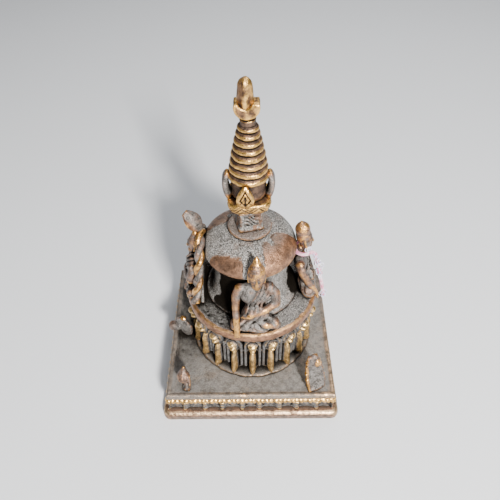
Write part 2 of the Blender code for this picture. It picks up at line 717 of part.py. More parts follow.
def make_backplate(brass, copper):
    """The arched plate behind the left figure, its rope border and its bent leaf."""
    half_route = [Vector((x, -out, z)) for x, out, z in smooth_route(ROPE_ROUTE, 3)]
    centres = half_route + [Vector((-p.x, p.y, p.z)) for p in reversed(half_route[:-1])]
    rope = limb(centres, [ROPE_RADIUS] * len(centres), ROPE_SIDES)
    face_side(finish_object("backplate_rope", skin_rings(rope), brass), 3)

    inset = ROPE_RADIUS + GAP
    outline = []
    for before, here, after in zip(centres, centres[1:], centres[2:]):
        along = Vector((after.x - before.x, after.z - before.z)).normalized()
        outline.append((here.x - inset * along.y, here.z + inset * along.x))
    foot_half = centres[0].x - inset
    outline = [(foot_half, PLATFORM_TOP + GAP)] + outline + [(-foot_half, PLATFORM_TOP + GAP)]
    half = BACKPLATE_THICKNESS / 2
    rings = [
        [Vector((x, -(BACKPLATE_OUT + side * half), z)) for x, z in outline]
        for side in (-1, 1)
    ]
    face_side(finish_object("backplate_panel", skin_rings(rings), copper, smooth=False), 3)

    rows = 6
    top = ROPE_ROUTE[-1][2] + ROPE_RADIUS + GAP
    path = []
    widths = []
    for row in range(rows):
        share = row / (rows - 1)
        out = ROPE_ROUTE[-1][1] - 0.4 * MM + BACKPLATE_LEAF_OUT * share ** 1.3
        path.append((out, top + BACKPLATE_LEAF_HEIGHT * share ** 0.8))
        widths.append(BACKPLATE_LEAF_HALF_WIDTH * math.sin(math.pi * (0.22 + 0.7 * share)) ** 0.8)
    leaf = skin_rings(leaf_rings(path, widths, LEAF_THICKNESS))
    face_side(finish_object("backplate_leaf", leaf, brass), 3)


def make_deck_leaves(brass):
    """Leaf ornaments that stand on the deck, lean back and carry a round knob."""
    rows = 7
    for name, x, y, turn, tall, half_width, knob_radius, knob_share, knob_x in DECK_LEAVES:
        path = []
        widths = []
        for row in range(rows):
            share = row / (rows - 1)
            path.append((-DECK_LEAF_LEAN * tall * share ** 0.8, DECK_TOP + GAP + tall * share))
            widths.append(half_width * math.sin(math.pi * (0.28 + 0.66 * share)) ** 0.6)
        leaf = finish_object("leaf_plate", skin_rings(leaf_rings(path, widths, LEAF_THICKNESS)), brass)
        knob_z = DECK_TOP + GAP + tall * knob_share
        knob_out = -DECK_LEAF_LEAN * tall * knob_share ** 0.8 + 0.45 * knob_radius
        rings = []
        for k in range(7):
            angle = math.radians(-80 + 160 * k / 6)
            rings.append(circle(knob_radius * math.cos(angle), knob_z + 1.15 * knob_radius * math.sin(angle),
                                10, (knob_x, -knob_out)))
        knob = finish_object("leaf_knob", skin_rings(rings), brass)
        item = union(f"deck_leaf_{name}", [leaf, knob], brass)
        item.location = (x, y, 0.0)
        item.rotation_euler.z = math.radians(turn)


def make_thread(cotton):
    """A thread looped once round the right figure's neck, with its tail hanging over the rim."""
    points = []
    steps = 14
    for k in range(steps + 1):
        angle = math.radians(THREAD_LOOP_START + THREAD_LOOP_SWEEP * k / steps)
        points.append((
            THREAD_LOOP_RADIUS * math.sin(angle),
            NECK_OUT + THREAD_LOOP_RADIUS * math.cos(angle),
            THREAD_LOOP_Z,
        ))
    points += THREAD_TAIL
    curve = bpy.data.curves.new("thread", "CURVE")
    curve.dimensions = "3D"
    curve.bevel_depth = THREAD_RADIUS
    curve.bevel_resolution = 2
    curve.use_fill_caps = True
    spline = curve.splines.new("POLY")
    route = smooth_route(points, 2)
    spline.points.add(len(route) - 1)
    for point, (x, out, z) in zip(spline.points, route):
        point.co = (x, -out, z, 1.0)
    curve.materials.append(cotton)
    thread = bpy.data.objects.new("thread", curve)
    bpy.context.collection.objects.link(thread)
    face_side(thread, 1)


def build():
    clear_scene()
    brass = make_material("polished_brass", (0.52, 0.33, 0.14), 0.34, 1.0)
    copper = make_material("worn_copper_brown", (0.25, 0.15, 0.09), 0.48, 0.9)
    cotton = make_material("pink_cotton", (0.75, 0.5, 0.55), 0.9, 0.0)
    make_plinth(brass, copper)
    make_lotus(brass, copper)
    make_platform(copper)
    make_vase(brass, copper)
    make_box_and_cornice(brass, copper)
    make_cornice_leaves(brass)
    make_spire(brass)
    make_finial(brass, copper)
    make_figures(brass)
    make_backplate(brass, copper)
    make_deck_leaves(brass)
    make_thread(cotton)


build()
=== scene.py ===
"""The looks of the miniature cast brass stupa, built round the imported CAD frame.

Every CAD node is replaced by a finer piece of the same form. Round and square pieces are swept
grids with their ornament pushed into the surface, and leaves are bent grids. Figures, deck
ornaments, the backplate's plate and the crescent are modelled as clay, a field of distances that
is meshed with surface nets. The rope and the thread are tubes along a line. Lengths are in
millimetres here and become metres when a mesh is made.
"""

import math

import bpy
import numpy as np
from mathutils import Matrix, Vector, noise


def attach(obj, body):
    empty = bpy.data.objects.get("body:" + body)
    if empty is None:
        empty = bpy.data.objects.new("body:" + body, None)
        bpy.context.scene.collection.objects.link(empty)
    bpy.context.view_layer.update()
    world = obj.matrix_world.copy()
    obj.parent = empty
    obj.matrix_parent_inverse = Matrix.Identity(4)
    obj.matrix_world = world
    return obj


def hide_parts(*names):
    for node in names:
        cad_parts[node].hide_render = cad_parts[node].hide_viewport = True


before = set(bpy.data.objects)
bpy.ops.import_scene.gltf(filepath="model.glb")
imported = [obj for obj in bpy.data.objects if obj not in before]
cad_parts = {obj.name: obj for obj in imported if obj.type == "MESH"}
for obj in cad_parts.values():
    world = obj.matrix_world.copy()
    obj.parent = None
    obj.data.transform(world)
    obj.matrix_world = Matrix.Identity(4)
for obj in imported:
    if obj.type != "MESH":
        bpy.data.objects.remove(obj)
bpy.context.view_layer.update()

MM = 0.001
SIDES = ("front", "right", "back", "left")

# The record's material slots
BRASS = "polished_brass"
BRONZE = "copper_brown_bronze"
COTTON = "cotton_thread"

# Places and sizes in the frame, in millimetres
PEDESTAL_X = 1.0
BOX_X = 0.0
DOME_X = 0.2
COLLAR_X = 0.3
BUD_X = -0.75
CORE_HALF = 36.9
DOME_BELT = 75.3
DOME_RISE = 9.3
DECK_TOP = 17.1


# Camera, light and floor

CAMERA_TARGET = Vector((0.29, 0.0, 71.15)) * MM
CAMERA_DISTANCE = 196.78 * MM
CAMERA_PITCH = math.radians(45.97)
CAMERA_AZIMUTH = math.radians(0.08)
CAMERA_ROLL = math.radians(0.57)
CAMERA_LENS = 34.2

# Each light: name, azimuth and elevation in degrees, distance, size, power and colour
LIGHTS = (
    ("key", 19.0, 34.0, 0.75, (0.09, 0.09), 17.5, (1.0, 0.97, 0.93)),
    ("fill", -60.0, 45.0, 0.8, (0.5, 0.5), 0.35, (0.90, 0.95, 1.0)),
    ("top", 60.0, 75.0, 0.8, (0.4, 0.4), 2.0, (0.95, 0.97, 1.0)),
    ("rim", 160.0, 50.0, 0.8, (0.6, 0.4), 2.6, (1.0, 1.0, 1.0)),
)
LIGHTS_AIM = Vector((0.0, 0.0, 0.06))
SKY_COLOUR = (0.80, 0.84, 0.90, 1.0)
SKY_STRENGTH = 0.13
FLOOR_HALF = 1.2
FLOOR_COLOUR = (0.74, 0.76, 0.79, 1.0)


def new_object(name, data):
    """An object of the scene that holds the data."""
    item = bpy.data.objects.new(name, data)
    bpy.context.collection.objects.link(item)
    return item


def make_camera():
    """A camera that looks down at the photograph's angle, with its small roll."""
    flat = math.cos(CAMERA_PITCH)
    level = Vector((math.cos(CAMERA_AZIMUTH), math.sin(CAMERA_AZIMUTH), 0.0))
    back = Vector((level.y * flat, -level.x * flat, math.sin(CAMERA_PITCH)))
    upward = back.cross(level)
    right = level * math.cos(CAMERA_ROLL) - upward * math.sin(CAMERA_ROLL)
    up = level * math.sin(CAMERA_ROLL) + upward * math.cos(CAMERA_ROLL)
    data = bpy.data.cameras.new("camera")
    data.lens = CAMERA_LENS
    data.sensor_width = 36.0
    data.clip_start = 0.005
    data.clip_end = 10.0
    camera = new_object("camera", data)
    axes = Matrix((right, up, back)).transposed().to_4x4()
    camera.matrix_world = Matrix.Translation(CAMERA_TARGET + back * CAMERA_DISTANCE) @ axes
    bpy.context.scene.camera = camera


def make_studio():
    """A pale floor, one key light from the front right and above, and weak soft fill."""
    for name, azimuth, elevation, distance, size, power, colour in LIGHTS:
        data = bpy.data.lights.new(name, "AREA")
        data.shape = "RECTANGLE"
        data.size, data.size_y = size
        data.energy = power
        data.color = colour
        a, e = math.radians(azimuth), math.radians(elevation)
        away = Vector((math.sin(a) * math.cos(e), -math.cos(a) * math.cos(e), math.sin(e)))
        place = LIGHTS_AIM + away * distance
        light = new_object(name, data)
        light.location = place
        light.rotation_mode = "QUATERNION"
        light.rotation_quaternion = (LIGHTS_AIM - place).to_track_quat("-Z", "Y")
    world = bpy.data.worlds.new("studio")
    bpy.context.scene.world = world
    world.use_nodes = True
    background = world.node_tree.nodes["Background"]
    background.inputs["Color"].default_value = SKY_COLOUR
    background.inputs["Strength"].default_value = SKY_STRENGTH

    mesh = bpy.data.meshes.new("floor")
    corners = [(FLOOR_HALF * x, FLOOR_HALF * y, 0) for x, y in ((-1, -1), (1, -1), (1, 1), (-1, 1))]
    mesh.from_pydata(corners, [], [(0, 1, 2, 3)])
    material, _, shader, _ = new_material("pale_floor")
    shader.inputs["Base Color"].default_value = FLOOR_COLOUR
    shader.inputs["Roughness"].default_value = 0.85
    mesh.materials.append(material)
    floor = new_object("floor", mesh)


# Materials


class Value:
    """A number or colour that a node gives. Its sums and products are math nodes of the same tree."""

    def __init__(self, tree, socket):
        self.tree = tree
        self.socket = socket

    def made(self, kind, inputs, output=0, **settings):
        return Value(self.tree, add_node(self.tree, kind, inputs, **settings).outputs[output])

    def math(self, operation, a, b):
        return self.made("ShaderNodeMath", {0: a, 1: b}, operation=operation)

    def __add__(self, other):
        return self.math("ADD", self, other)

    def __sub__(self, other):
        return self.math("SUBTRACT", self, other)

    def __rsub__(self, other):
        return self.math("SUBTRACT", other, self)

    def __mul__(self, other):
        return self.math("MULTIPLY", self, other)

    def most(self, other):
        return self.math("MAXIMUM", self, other)

    def clamped(self):
        """The same value, kept from 0 to 1 by the math node that makes it."""
        self.socket.node.use_clamp = True
        return self

    def ramp(self, low, high):
        """0 at low, 1 at high, with a soft change between."""
        return self.made("ShaderNodeMapRange", {"Value": self, "From Min": low, "From Max": high},
                         "Result", interpolation_type="SMOOTHSTEP")

    def numbers(self, a, b):
        """The number a where this value is 0, and b where it is 1."""
        return self.made("ShaderNodeMix", {0: self, 2: a, 3: b}, 0, data_type="FLOAT")

    def colours(self, a, b):
        """The colour a where this value is 0, and b where it is 1."""
        a, b = (colour if isinstance(colour, Value) else (*colour, 1.0) for colour in (a, b))
        return self.made("ShaderNodeMix", {0: self, 6: a, 7: b}, 2, data_type="RGBA")


def set_inputs(tree, item, inputs):
    """A node's inputs set to a number or colour, or linked to a value or socket."""
    for key, value in inputs.items():
        value = value.socket if isinstance(value, Value) else value
        if isinstance(value, bpy.types.NodeSocket):
            tree.links.new(value, item.inputs[key])
        else:
            item.inputs[key].default_value = value


def add_node(tree, kind, inputs=None, **settings):
    """A node with its settings and inputs."""
    item = tree.nodes.new(kind)
    for key, value in settings.items():
        setattr(item, key, value)
    set_inputs(tree, item, inputs or {})
    return item


def new_material(name):
    """A material with its tree, its shader, and noise_of(size_mm, detail, roughness), whose features
    are about that size on the object."""
    material = bpy.data.materials.new(name)
    material.use_nodes = True
    tree = material.node_tree
    place = add_node(tree, "ShaderNodeTexCoord").outputs["Object"]

    def noise_of(size_mm, detail=4.0, roughness=0.55):
        item = add_node(tree, "ShaderNodeTexNoise", {
            "Vector": place, "Scale": 1000.0 / size_mm, "Detail": detail, "Roughness": roughness})
        return Value(tree, item.outputs["Fac"])

    return material, tree, tree.nodes["Principled BSDF"], noise_of


def shade(colour, share):
    """A darker colour."""
    return tuple(share * c for c in colour)


def cast_metal(name, body, body_dark, bright, copper, wear_level, grain, speck_and_glint, bright_rough=0.36,
               body_metal=0.4):
    """Aged cast metal: worn bright on high points, brown round them, patinated between and dark in
    the hollows, with painted shade in places that ambient occlusion finds sheltered.

    Meshes carry four attributes: relief (above or below the surface round it), polish (how worn a
    place is, and painted highlights), and copper and soot (places painted on the piece, 0 to 1; the
    soot layer also carries painted shade). Colours are linear.
    """
    material, tree, shader, noise_of = new_material(name)
    relief, polish, coppered, sooty = (
        Value(tree, add_node(tree, "ShaderNodeAttribute", attribute_name=layer).outputs["Fac"])
        for layer in ("relief", "polish", "copper", "soot"))
    cloudy = noise_of(8.0)
    mottled = noise_of(2.0, 6.0, 0.62)
    grainy = noise_of(0.44, 2.0, 0.6)
    speckled = noise_of(0.38, 1.0, 0.5)
    occlusion = add_node(tree, "ShaderNodeAmbientOcclusion", {"Distance": 0.007}, samples=8)
    open_air = Value(tree, occlusion.outputs["AO"])

    # Wear and painted highlights: high relief and the painted polish layer, broken up by the mottling
    # and the grain
    broken = mottled - 0.5 + (grainy - 0.5) * 0.5
    high = relief + broken * 1.3 + polish * 1.1
    warm = high.ramp(wear_level - 0.40, wear_level + 0.20)
    wear_and_highlight = high.ramp(wear_level + 0.05, wear_level + 0.65)

    # Grime and painted shade: patina in low relief, painted shade where ambient occlusion finds the
    # place sheltered, and the soot layer, broken up the other way
    occlusion_shade = (0.75 - open_air).clamped()
    grime_and_shade = (broken * 0.7 - relief + occlusion_shade * 1.9 + sooty * 1.3).ramp(0.22, 0.95)
    clean_and_unshaded = 1.0 - grime_and_shade

    # Colour: grey or brown patina with dark specks and with pale specks that are painted glints, copper
    # patches, and rubbed metal
    smooth_places = wear_and_highlight.most(coppered * 0.8)
    speck_and_glint_mask = (1.0 - smooth_places) * speck_and_glint
    patina = mottled.ramp(0.38, 0.60).colours(body_dark, body)
    # Pale specks stand in for glints on the grain: painted highlights
    patina = (grainy.ramp(0.50, 0.59) * speck_and_glint_mask).colours(patina, tuple(min(1.0, 2.6 * c) for c in body))
    patina = (speckled.ramp(0.47, 0.36) * speck_and_glint_mask).colours(patina, shade(body_dark, 0.15))
    coppery = mottled.ramp(0.36, 0.60).colours(shade(copper, 0.40), copper)
    reddish = (cloudy.ramp(0.54, 0.70) * 0.30).most(warm * 0.75).most(coppered)
    rubbed = mottled.ramp(0.35, 0.62).colours(shade(bright, 0.50), bright)
    colour = wear_and_highlight.colours(reddish.colours(patina, coppery), rubbed)
    # Near black, for grime and for painted shade in sheltered places
    hollow = (0.008, 0.0065, 0.005)

    rough = (wear_and_highlight.numbers(reddish.numbers(0.50, 0.34), bright_rough) + grime_and_shade * 0.35).clamped()
    metal = wear_and_highlight.numbers(reddish.numbers(body_metal, 0.75), 0.97)
    height = (grainy + speckled) * 0.5 * smooth_places.numbers(1.3, 0.35) + mottled * 0.25
    bump = add_node(tree, "ShaderNodeBump", {"Strength": grain, "Distance": 0.0007, "Height": height})
    # Grime and painted shade darken the colour and take away metal and specular
    set_inputs(tree, shader, {
        "Base Color": grime_and_shade.colours(colour, hollow),
        "Roughness": (rough + (grainy - 0.5) * 0.45).clamped(),
        "Metallic": metal * clean_and_unshaded,
        "Specular IOR Level": clean_and_unshaded * 0.5,
        "Normal": bump.outputs["Normal"]})
    return material


def cotton(name, colour):
    """Soft cotton yarn with fine fibres and a little sheen."""
    material, tree, shader, noise_of = new_material(name)
    fibres = noise_of(0.25, 4.0, 0.7)
    pale = tuple(0.5 + 0.5 * c for c in colour)
    yarn = noise_of(2.0, 3.0).ramp(0.35, 0.65).colours(colour, pale)
    bump = add_node(tree, "ShaderNodeBump", {"Strength": 0.6, "Distance": 0.0001, "Height": fibres})
    set_inputs(tree, shader, {
        "Base Color": (fibres.ramp(0.55, 0.7) * 0.4).colours(yarn, shade(colour, 0.5)),
        "Normal": bump.outputs["Normal"],
        "Roughness": 0.9,
        "Sheen Weight": 0.3})
    return material


def make_materials():
    """The looks by name. Each metal: body, its dark, bright, copper, wear_level, grain, and specks (dark
    specks and pale specks that are painted glints).
    """
    return {
        "deck": cast_metal(
            "aged_grey_bronze", (0.225, 0.212, 0.196), (0.135, 0.124, 0.110), (0.640, 0.430, 0.260),
            (0.270, 0.180, 0.115), 0.85, 0.55, 0.20),
        "bar": cast_metal(
            "rubbed_copper_bronze", (0.200, 0.150, 0.118), (0.090, 0.064, 0.048), (0.600, 0.410, 0.240),
            (0.290, 0.145, 0.082), 0.56, 0.5, 0.30, body_metal=0.6),
        "lotus": cast_metal(
            "grey_lotus_bronze", (0.150, 0.146, 0.144), (0.045, 0.043, 0.042), (0.880, 0.570, 0.220),
            (0.200, 0.130, 0.085), 0.45, 0.7, 0.35, bright_rough=0.30),
        "brass": cast_metal(
            "worn_cast_brass", (0.120, 0.074, 0.050), (0.040, 0.025, 0.018), (0.860, 0.500, 0.140),
            (0.270, 0.140, 0.064), 0.38, 0.45, 0.20, bright_rough=0.30, body_metal=0.7),
        "figure": cast_metal(
            "worn_figure_brass", (0.190, 0.176, 0.162), (0.050, 0.043, 0.038), (0.820, 0.440, 0.130),
            (0.300, 0.140, 0.072), 0.50, 0.5, 0.35, bright_rough=0.28, body_metal=0.6),
        "silver": cast_metal(
            "grey_grainy_bronze", (0.215, 0.206, 0.194), (0.120, 0.113, 0.102), (0.700, 0.400, 0.180),
            (0.310, 0.155, 0.082), 0.75, 1.0, 1.0),
        "pink_cotton": cotton("pink_cotton", (0.58, 0.15, 0.27)),
        "white_cotton": cotton("white_cotton", (0.56, 0.54, 0.74)),
    }


# Formulas for surfaces


def ramp(value, low, high):
    """0 at low, 1 at high, with a soft change between."""
    t = np.clip((value - low) / (high - low), 0.0, 1.0)
    return t * t * (3 - 2 * t)


def hump(value, width, power=2):
    """1 at 0, falling off on both sides within about the width."""
    return np.exp(-(value / width) ** power)


def oval(across, wide, up, tall, power=1):
    """1 at the middle of an oval, falling off at its edge; a higher power makes the edge sharper."""
    return np.exp(-((across / wide) ** 2 + (up / tall) ** 2) ** power)


def ripples(value, power):
    """Rounded folds from 0 to 1, half a turn of the value apart."""
    return np.abs(np.sin(value)) ** power


def soft_max(a, b, soft):
    """The larger of two values, with a soft change between them."""
    h = np.clip(0.5 + 0.5 * (a - b) / soft, 0, 1)
    return b * (1 - h) + a * h + soft * h * (1 - h)


def fractal(points, size, seed):
    """Smooth noise from about -1 to 1, with features about size across."""
    points = np.asarray(points)
    shift = np.array((17.3, 5.1, 9.7)) * seed
    spots = points.reshape(-1, 3) / size + shift
    return np.array([noise.fractal(Vector(p), 1.0, 2.0, 3) for p in spots]).reshape(points.shape[:-1])


def ring_spots(angle, radius, z):
    """Points at an angle and radius from the axis, and a height."""
    return np.stack([np.cos(angle) * radius, np.sin(angle) * radius, z], axis=-1)


def circle(degrees):
    """The cosine and sine of an angle."""
    return math.cos(math.radians(degrees)), math.sin(math.radians(degrees))


def near_ball(points, centre, reach):
    """1 at the centre, falling to 0 at the reach."""
    return ramp(-np.linalg.norm(points - np.array(centre), axis=1), -reach, 0.0)


def near_line(points, line, reach):
    """1 on a polyline, falling to 0 at the reach."""
    best = np.full(len(points), 1e9)
    for a, b in zip(np.array(line[:-1], dtype=float), np.array(line[1:], dtype=float)):
        share = np.clip((points - a) @ (b - a) / ((b - a) @ (b - a)), 0, 1)
        best = np.minimum(best, np.linalg.norm(points - a - share[:, None] * (b - a), axis=1))
    return ramp(-best, -reach, -0.3 * reach)


# Meshes


def neighbour_mean(values, edges, count):
    """Mean of each vertex's neighbours, column by column."""
    ends = np.concatenate([edges[:, 0], edges[:, 1]])
    others = np.concatenate([edges[:, 1], edges[:, 0]])
    degree = np.maximum(np.bincount(ends, minlength=count), 1)
    return np.stack([
        np.bincount(ends, weights=values[others, k], minlength=count) / degree
        for k in range(values.shape[1])], axis=1)


def mesh_rows(items, field, width, kind=float):
    """Numbers of a mesh's vertices or edges, one row each."""
    values = np.empty(len(items) * width, dtype=kind)
    items.foreach_get(field, values)
    return values.reshape(-1, width)


def relief_of(mesh):
    """How far each vertex stands above (+) or below (-) the surface round it, at two scales."""
    count = len(mesh.vertices)
    points = mesh_rows(mesh.vertices, "co", 3) / MM
    normals = mesh_rows(mesh.vertices, "normal", 3)
    edges = mesh_rows(mesh.edges, "vertices", 2, np.int32)
    spacing = np.linalg.norm(points[edges[:, 0]] - points[edges[:, 1]], axis=1).mean()
    relief = np.zeros(count)
    for reach, weight in ((0.7, 1.9), (2.0, 1.2)):
        passes = int(min(max((reach / spacing) ** 2, 2), 60))
        smooth = points
        for _ in range(passes):
            smooth = neighbour_mean(smooth, edges, count)
        relief += weight * np.einsum("ij,ij->i", points - smooth, normals)
    return np.clip(relief, -1.5, 1.5)


def painted(paint, points):
    """A layer's values at the points, from a function of them, a number or an array."""
    return np.clip(paint(points) if callable(paint) else paint * np.ones(len(points)), -1, 1)


def add_piece(name, points, faces, look, slot, nodes, **paint):
    """A mesh from millimetre points that rides the root and replaces its nodes. Its slot is not used.
    The paint is polish, copper and soot."""
    points = np.asarray(points, dtype=float)
    mesh = bpy.data.meshes.new(name)
    mesh.from_pydata((points * MM).tolist(), [], [list(map(int, face)) for face in faces])
    mesh.validate()
    mesh.shade_smooth()
    mesh.update()
    layers = {layer: painted(paint.get(layer, 0.0), points) for layer in ("polish", "copper", "soot")}
    for layer, values in {"relief": relief_of(mesh), **layers}.items():
        stored = mesh.attributes.new(layer, "FLOAT", "POINT")
        stored.data.foreach_set("value", values.astype(np.float32))
    mesh.materials.append(MATERIALS[look])
    piece = new_object(name, mesh)
    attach(piece, "root")
    if nodes:
        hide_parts(*nodes)
    return piece


def grid_faces(rows, columns, close_rows=False):
    """Quads of a grid that closes along its columns, and along its rows if asked."""
    row, k = np.mgrid[:rows if close_rows else rows - 1, :columns]
    low = row * columns
    high = (row + 1) % rows * columns
    after = (k + 1) % columns
    return np.stack([low + k, low + after, high + after, high + k], axis=2).reshape(-1, 4)


def capped(grid):
    """Points and faces of stacked rings, bottom ring first, with a fan over each end."""
    rows, columns, _ = grid.shape
    bottom = rows * columns
    last = bottom - columns
    faces = grid_faces(rows, columns).tolist()
    for k in range(columns):
        after = (k + 1) % columns
        faces += [(bottom, after, k), (bottom + 1, last + k, last + after)]
    return np.vstack([grid.reshape(-1, 3), grid[0].mean(axis=0), grid[-1].mean(axis=0)]), faces


def lengths_along(points):
    """How far along a polyline each of its points lies."""
    return np.concatenate([[0], np.cumsum(np.linalg.norm(np.diff(points, axis=0), axis=1))])


def along_line(points, step):
    """A polyline resampled at an even step, ends kept."""
    points = np.asarray(points, dtype=float)
    lengths = lengths_along(points)
    count = max(int(round(lengths[-1] / step)), 2)
    marks = np.linspace(0, lengths[-1], count + 1)
    return np.stack([np.interp(marks, lengths, column) for column in points.T], axis=1)


def curved(points, steps=8):
    """A smooth curve through the given points."""
    points = np.asarray(points, dtype=float)
    padded = np.vstack([points[0], points, points[-1]])
    result = []
    for a, b, c, d in zip(padded, padded[1:], padded[2:], padded[3:]):
        for j in range(steps):
            t = j / steps
            result.append(0.5 * (2 * b + (c - a) * t + (2 * a - 5 * b + 4 * c - d) * t * t
                                 + (3 * b - a - 3 * c + d) * t ** 3))
    result.append(points[-1])
    return np.array(result)


def turned(node, profile, segments, step, look, slot, centre_x, shape, name=None, **paint):
    """A turned casting that stands for a node. shape(angle, z, radius) gives the radius and height
    that it really has."""
    line = along_line(profile, step)
    angles = np.linspace(0, 2 * math.pi, segments, endpoint=False) - math.pi / 2
    angle, radius = np.meshgrid(angles, line[:, 0])
    z = np.repeat(line[:, 1:], segments, axis=1)
    radius, z = shape(angle, z, radius)
    points, faces = capped(ring_spots(angle, radius, z) + np.array((centre_x, 0.0, 0.0)))
    add_piece(name or f"{node}_casting", points, faces, look, slot, [node], **paint)


# Plinth

CORNER_STEPS = 10
CORNER_RUN = 3.0
SIDE_HALF = 38.2
BOSSES_PER_SIDE = 8
BEADS_PER_SIDE = 40


def plinth_path(step):
    """Base points on the plinth's core square, outward directions, distance along and side."""
    base, outward, along = [], [], []
    count = int(2 * CORE_HALF / step)
    spots = [(-CORE_HALF + 2 * CORE_HALF * k / count, -90.0) for k in range(count + 1)]
    spots += [(CORE_HALF, -90.0 + 90.0 * k / CORNER_STEPS) for k in range(1, CORNER_STEPS)]
    for side in range(4):
        c, s = circle(90 * side)
        for x, angle in spots:
            nx, ny = circle(angle)
            base.append((c * x + s * CORE_HALF, s * x - c * CORE_HALF))
            outward.append((c * nx - s * ny, s * nx + c * ny))
            along.append(x + (angle + 90.0) / 90.0 * CORNER_RUN)
    return np.array(base), np.array(outward), np.array(along), np.repeat(range(4), len(spots))


def plinth_ring(base, outward, half):
    """The path's points moved to a half width: outwards from the core, or shrunk inside it."""
    least = 0.2
    offset = half - CORE_HALF
    shrink = np.where(offset < least, (half - least) / CORE_HALF, 1.0)
    return base * shrink + outward * np.maximum(offset, least)


def half_width(points):
    """Each point's half width on the square plinth."""
    return np.max(np.abs(points[:, :2]), axis=1)


def swept_bar(name, profile, step, rise, look, slot, node, **paint):
    """A closed bar round the plinth. The profile holds (half width, z), and
    rise(along, side, z, half, spots) pushes the surface outwards."""
    base, outward, along, side = plinth_path(step)
    line = along_line(np.vstack([profile, profile[:1]]), step)[:-1]
    half = np.repeat(line[None, :, 0], len(base), axis=0)
    z = np.repeat(line[None, :, 1], len(base), axis=0)
    along, side = along[:, None], side[:, None]
    spots = np.stack(np.broadcast_arrays(along + 90.0 * side, z, 0.0), axis=-1)
    half = half + rise(along, side, z, half, spots)
    flat = plinth_ring(base[:, None], outward[:, None], half[..., None])
    grid = np.concatenate([flat, z[..., None]], axis=2)
    faces = grid_faces(len(base), len(line), close_rows=True)[:, ::-1]
    nodes = [f"{node}_{facing}" for facing in SIDES]
    add_piece(name, grid.reshape(-1, 3), faces, look, slot, nodes, **paint)


def make_plinth():
    """Foot, frieze with bosses, and beaded moulding."""
    foot = [(34.3, 0.0), (39.9, 0.0), (40.35, 0.2), (40.5, 0.8), (40.5, 2.6), (40.35, 3.6),
            (39.9, 4.5), (39.2, 4.95), (38.6, 5.0), (34.3, 5.0)]

    def foot_rise(along, side, z, half, spots):
        wave = np.abs(fractal(spots, 9.0, 3))
        dent = np.clip(fractal(spots, 2.4, 5), 0, 1)
        return ramp(half, 36.0, 39.0) * (-0.10 - 0.10 * wave - 0.10 * dent)

    # The foot is brighter along its top edge, with a painted highlight on its front right corner
    swept_bar("plinth_foot_casting", foot, 0.64, foot_rise, "bar", BRONZE, "plinth_foot",
              polish=lambda p: 0.30 * ramp(p[:, 2], 3.2, 4.6) + 0.35 * near_ball(p, (40.0, -40.0, 4.0), 5.0))

    frieze = [(34.3, 5.3), (36.9, 5.3), (37.0, 5.8), (37.0, 10.7), (36.9, 11.2), (34.3, 11.2)]

    def frieze_rise(along, side, z, half, spots):
        """Waisted bosses, with a lump and a curl between neighbours, on a sunk panel."""
        spacing = 2 * SIDE_HALF / (BOSSES_PER_SIDE + 1)
        jitter = 0.35 * np.sin(3.1 * along / spacing + 1.7 * side)
        cell = (along + jitter + SIDE_HALF) / spacing
        away = np.abs(cell - np.round(cell)) * spacing
        tall = (z - 8.25) / 2.6
        post = hump(away, 1.25, 4) * (1.35 - 0.35 * np.cos(3 * math.pi * tall)) * 0.85
        waist = 1.0 - 0.35 * hump(tall, 0.25)
        lump = 0.75 * oval(away - spacing / 2, 1.1, tall + 0.15, 0.42)
        curl = 0.45 * hump(away - 2.5, 0.45) * hump(tall - 0.35, 0.4)
        panel = -0.75 * (1.0 - 0.55 * ramp(np.abs(tall), 0.75, 1.0))
        return ramp(half, 36.0, 36.8) * (panel + post * waist + lump + curl + 0.22 * fractal(spots, 1.3, 11))

    swept_bar("plinth_frieze_casting", frieze, 0.42, frieze_rise, "lotus", BRASS, "plinth_frieze",
              polish=lambda p: 0.9 * ramp(half_width(p), 37.4, 38.1) - 0.3)

    moulding = [(34.3, 11.5), (37.4, 11.5), (37.9, 11.7), (38.5, 12.1), (38.7, 12.7), (38.5, 13.3),
                (38.1, 13.8), (37.6, 14.1), (34.3, 14.1)]

    def bead_rise(along, side, z, half, spots):
        pitch = 2 * SIDE_HALF / BEADS_PER_SIDE
        sway = 0.25 * np.sin(0.31 * along + 2.0 * side) + 0.15 * np.sin(0.9 * along)
        bead = np.abs(np.cos(math.pi * (along + sway + 0.45 * (z - 12.7)) / pitch)) ** 0.55
        size = 0.85 + 0.15 * np.sin(1.7 * along + side)
        return ramp(half, 37.2, 38.0) * (-0.05 - 0.75 * (1.0 - bead * size))

    swept_bar("plinth_bead_moulding", moulding, 0.30, bead_rise, "brass", BRASS, "plinth_moulding",
              polish=lambda p: 0.45 * ramp(p[:, 2], 12.2, 13.2))


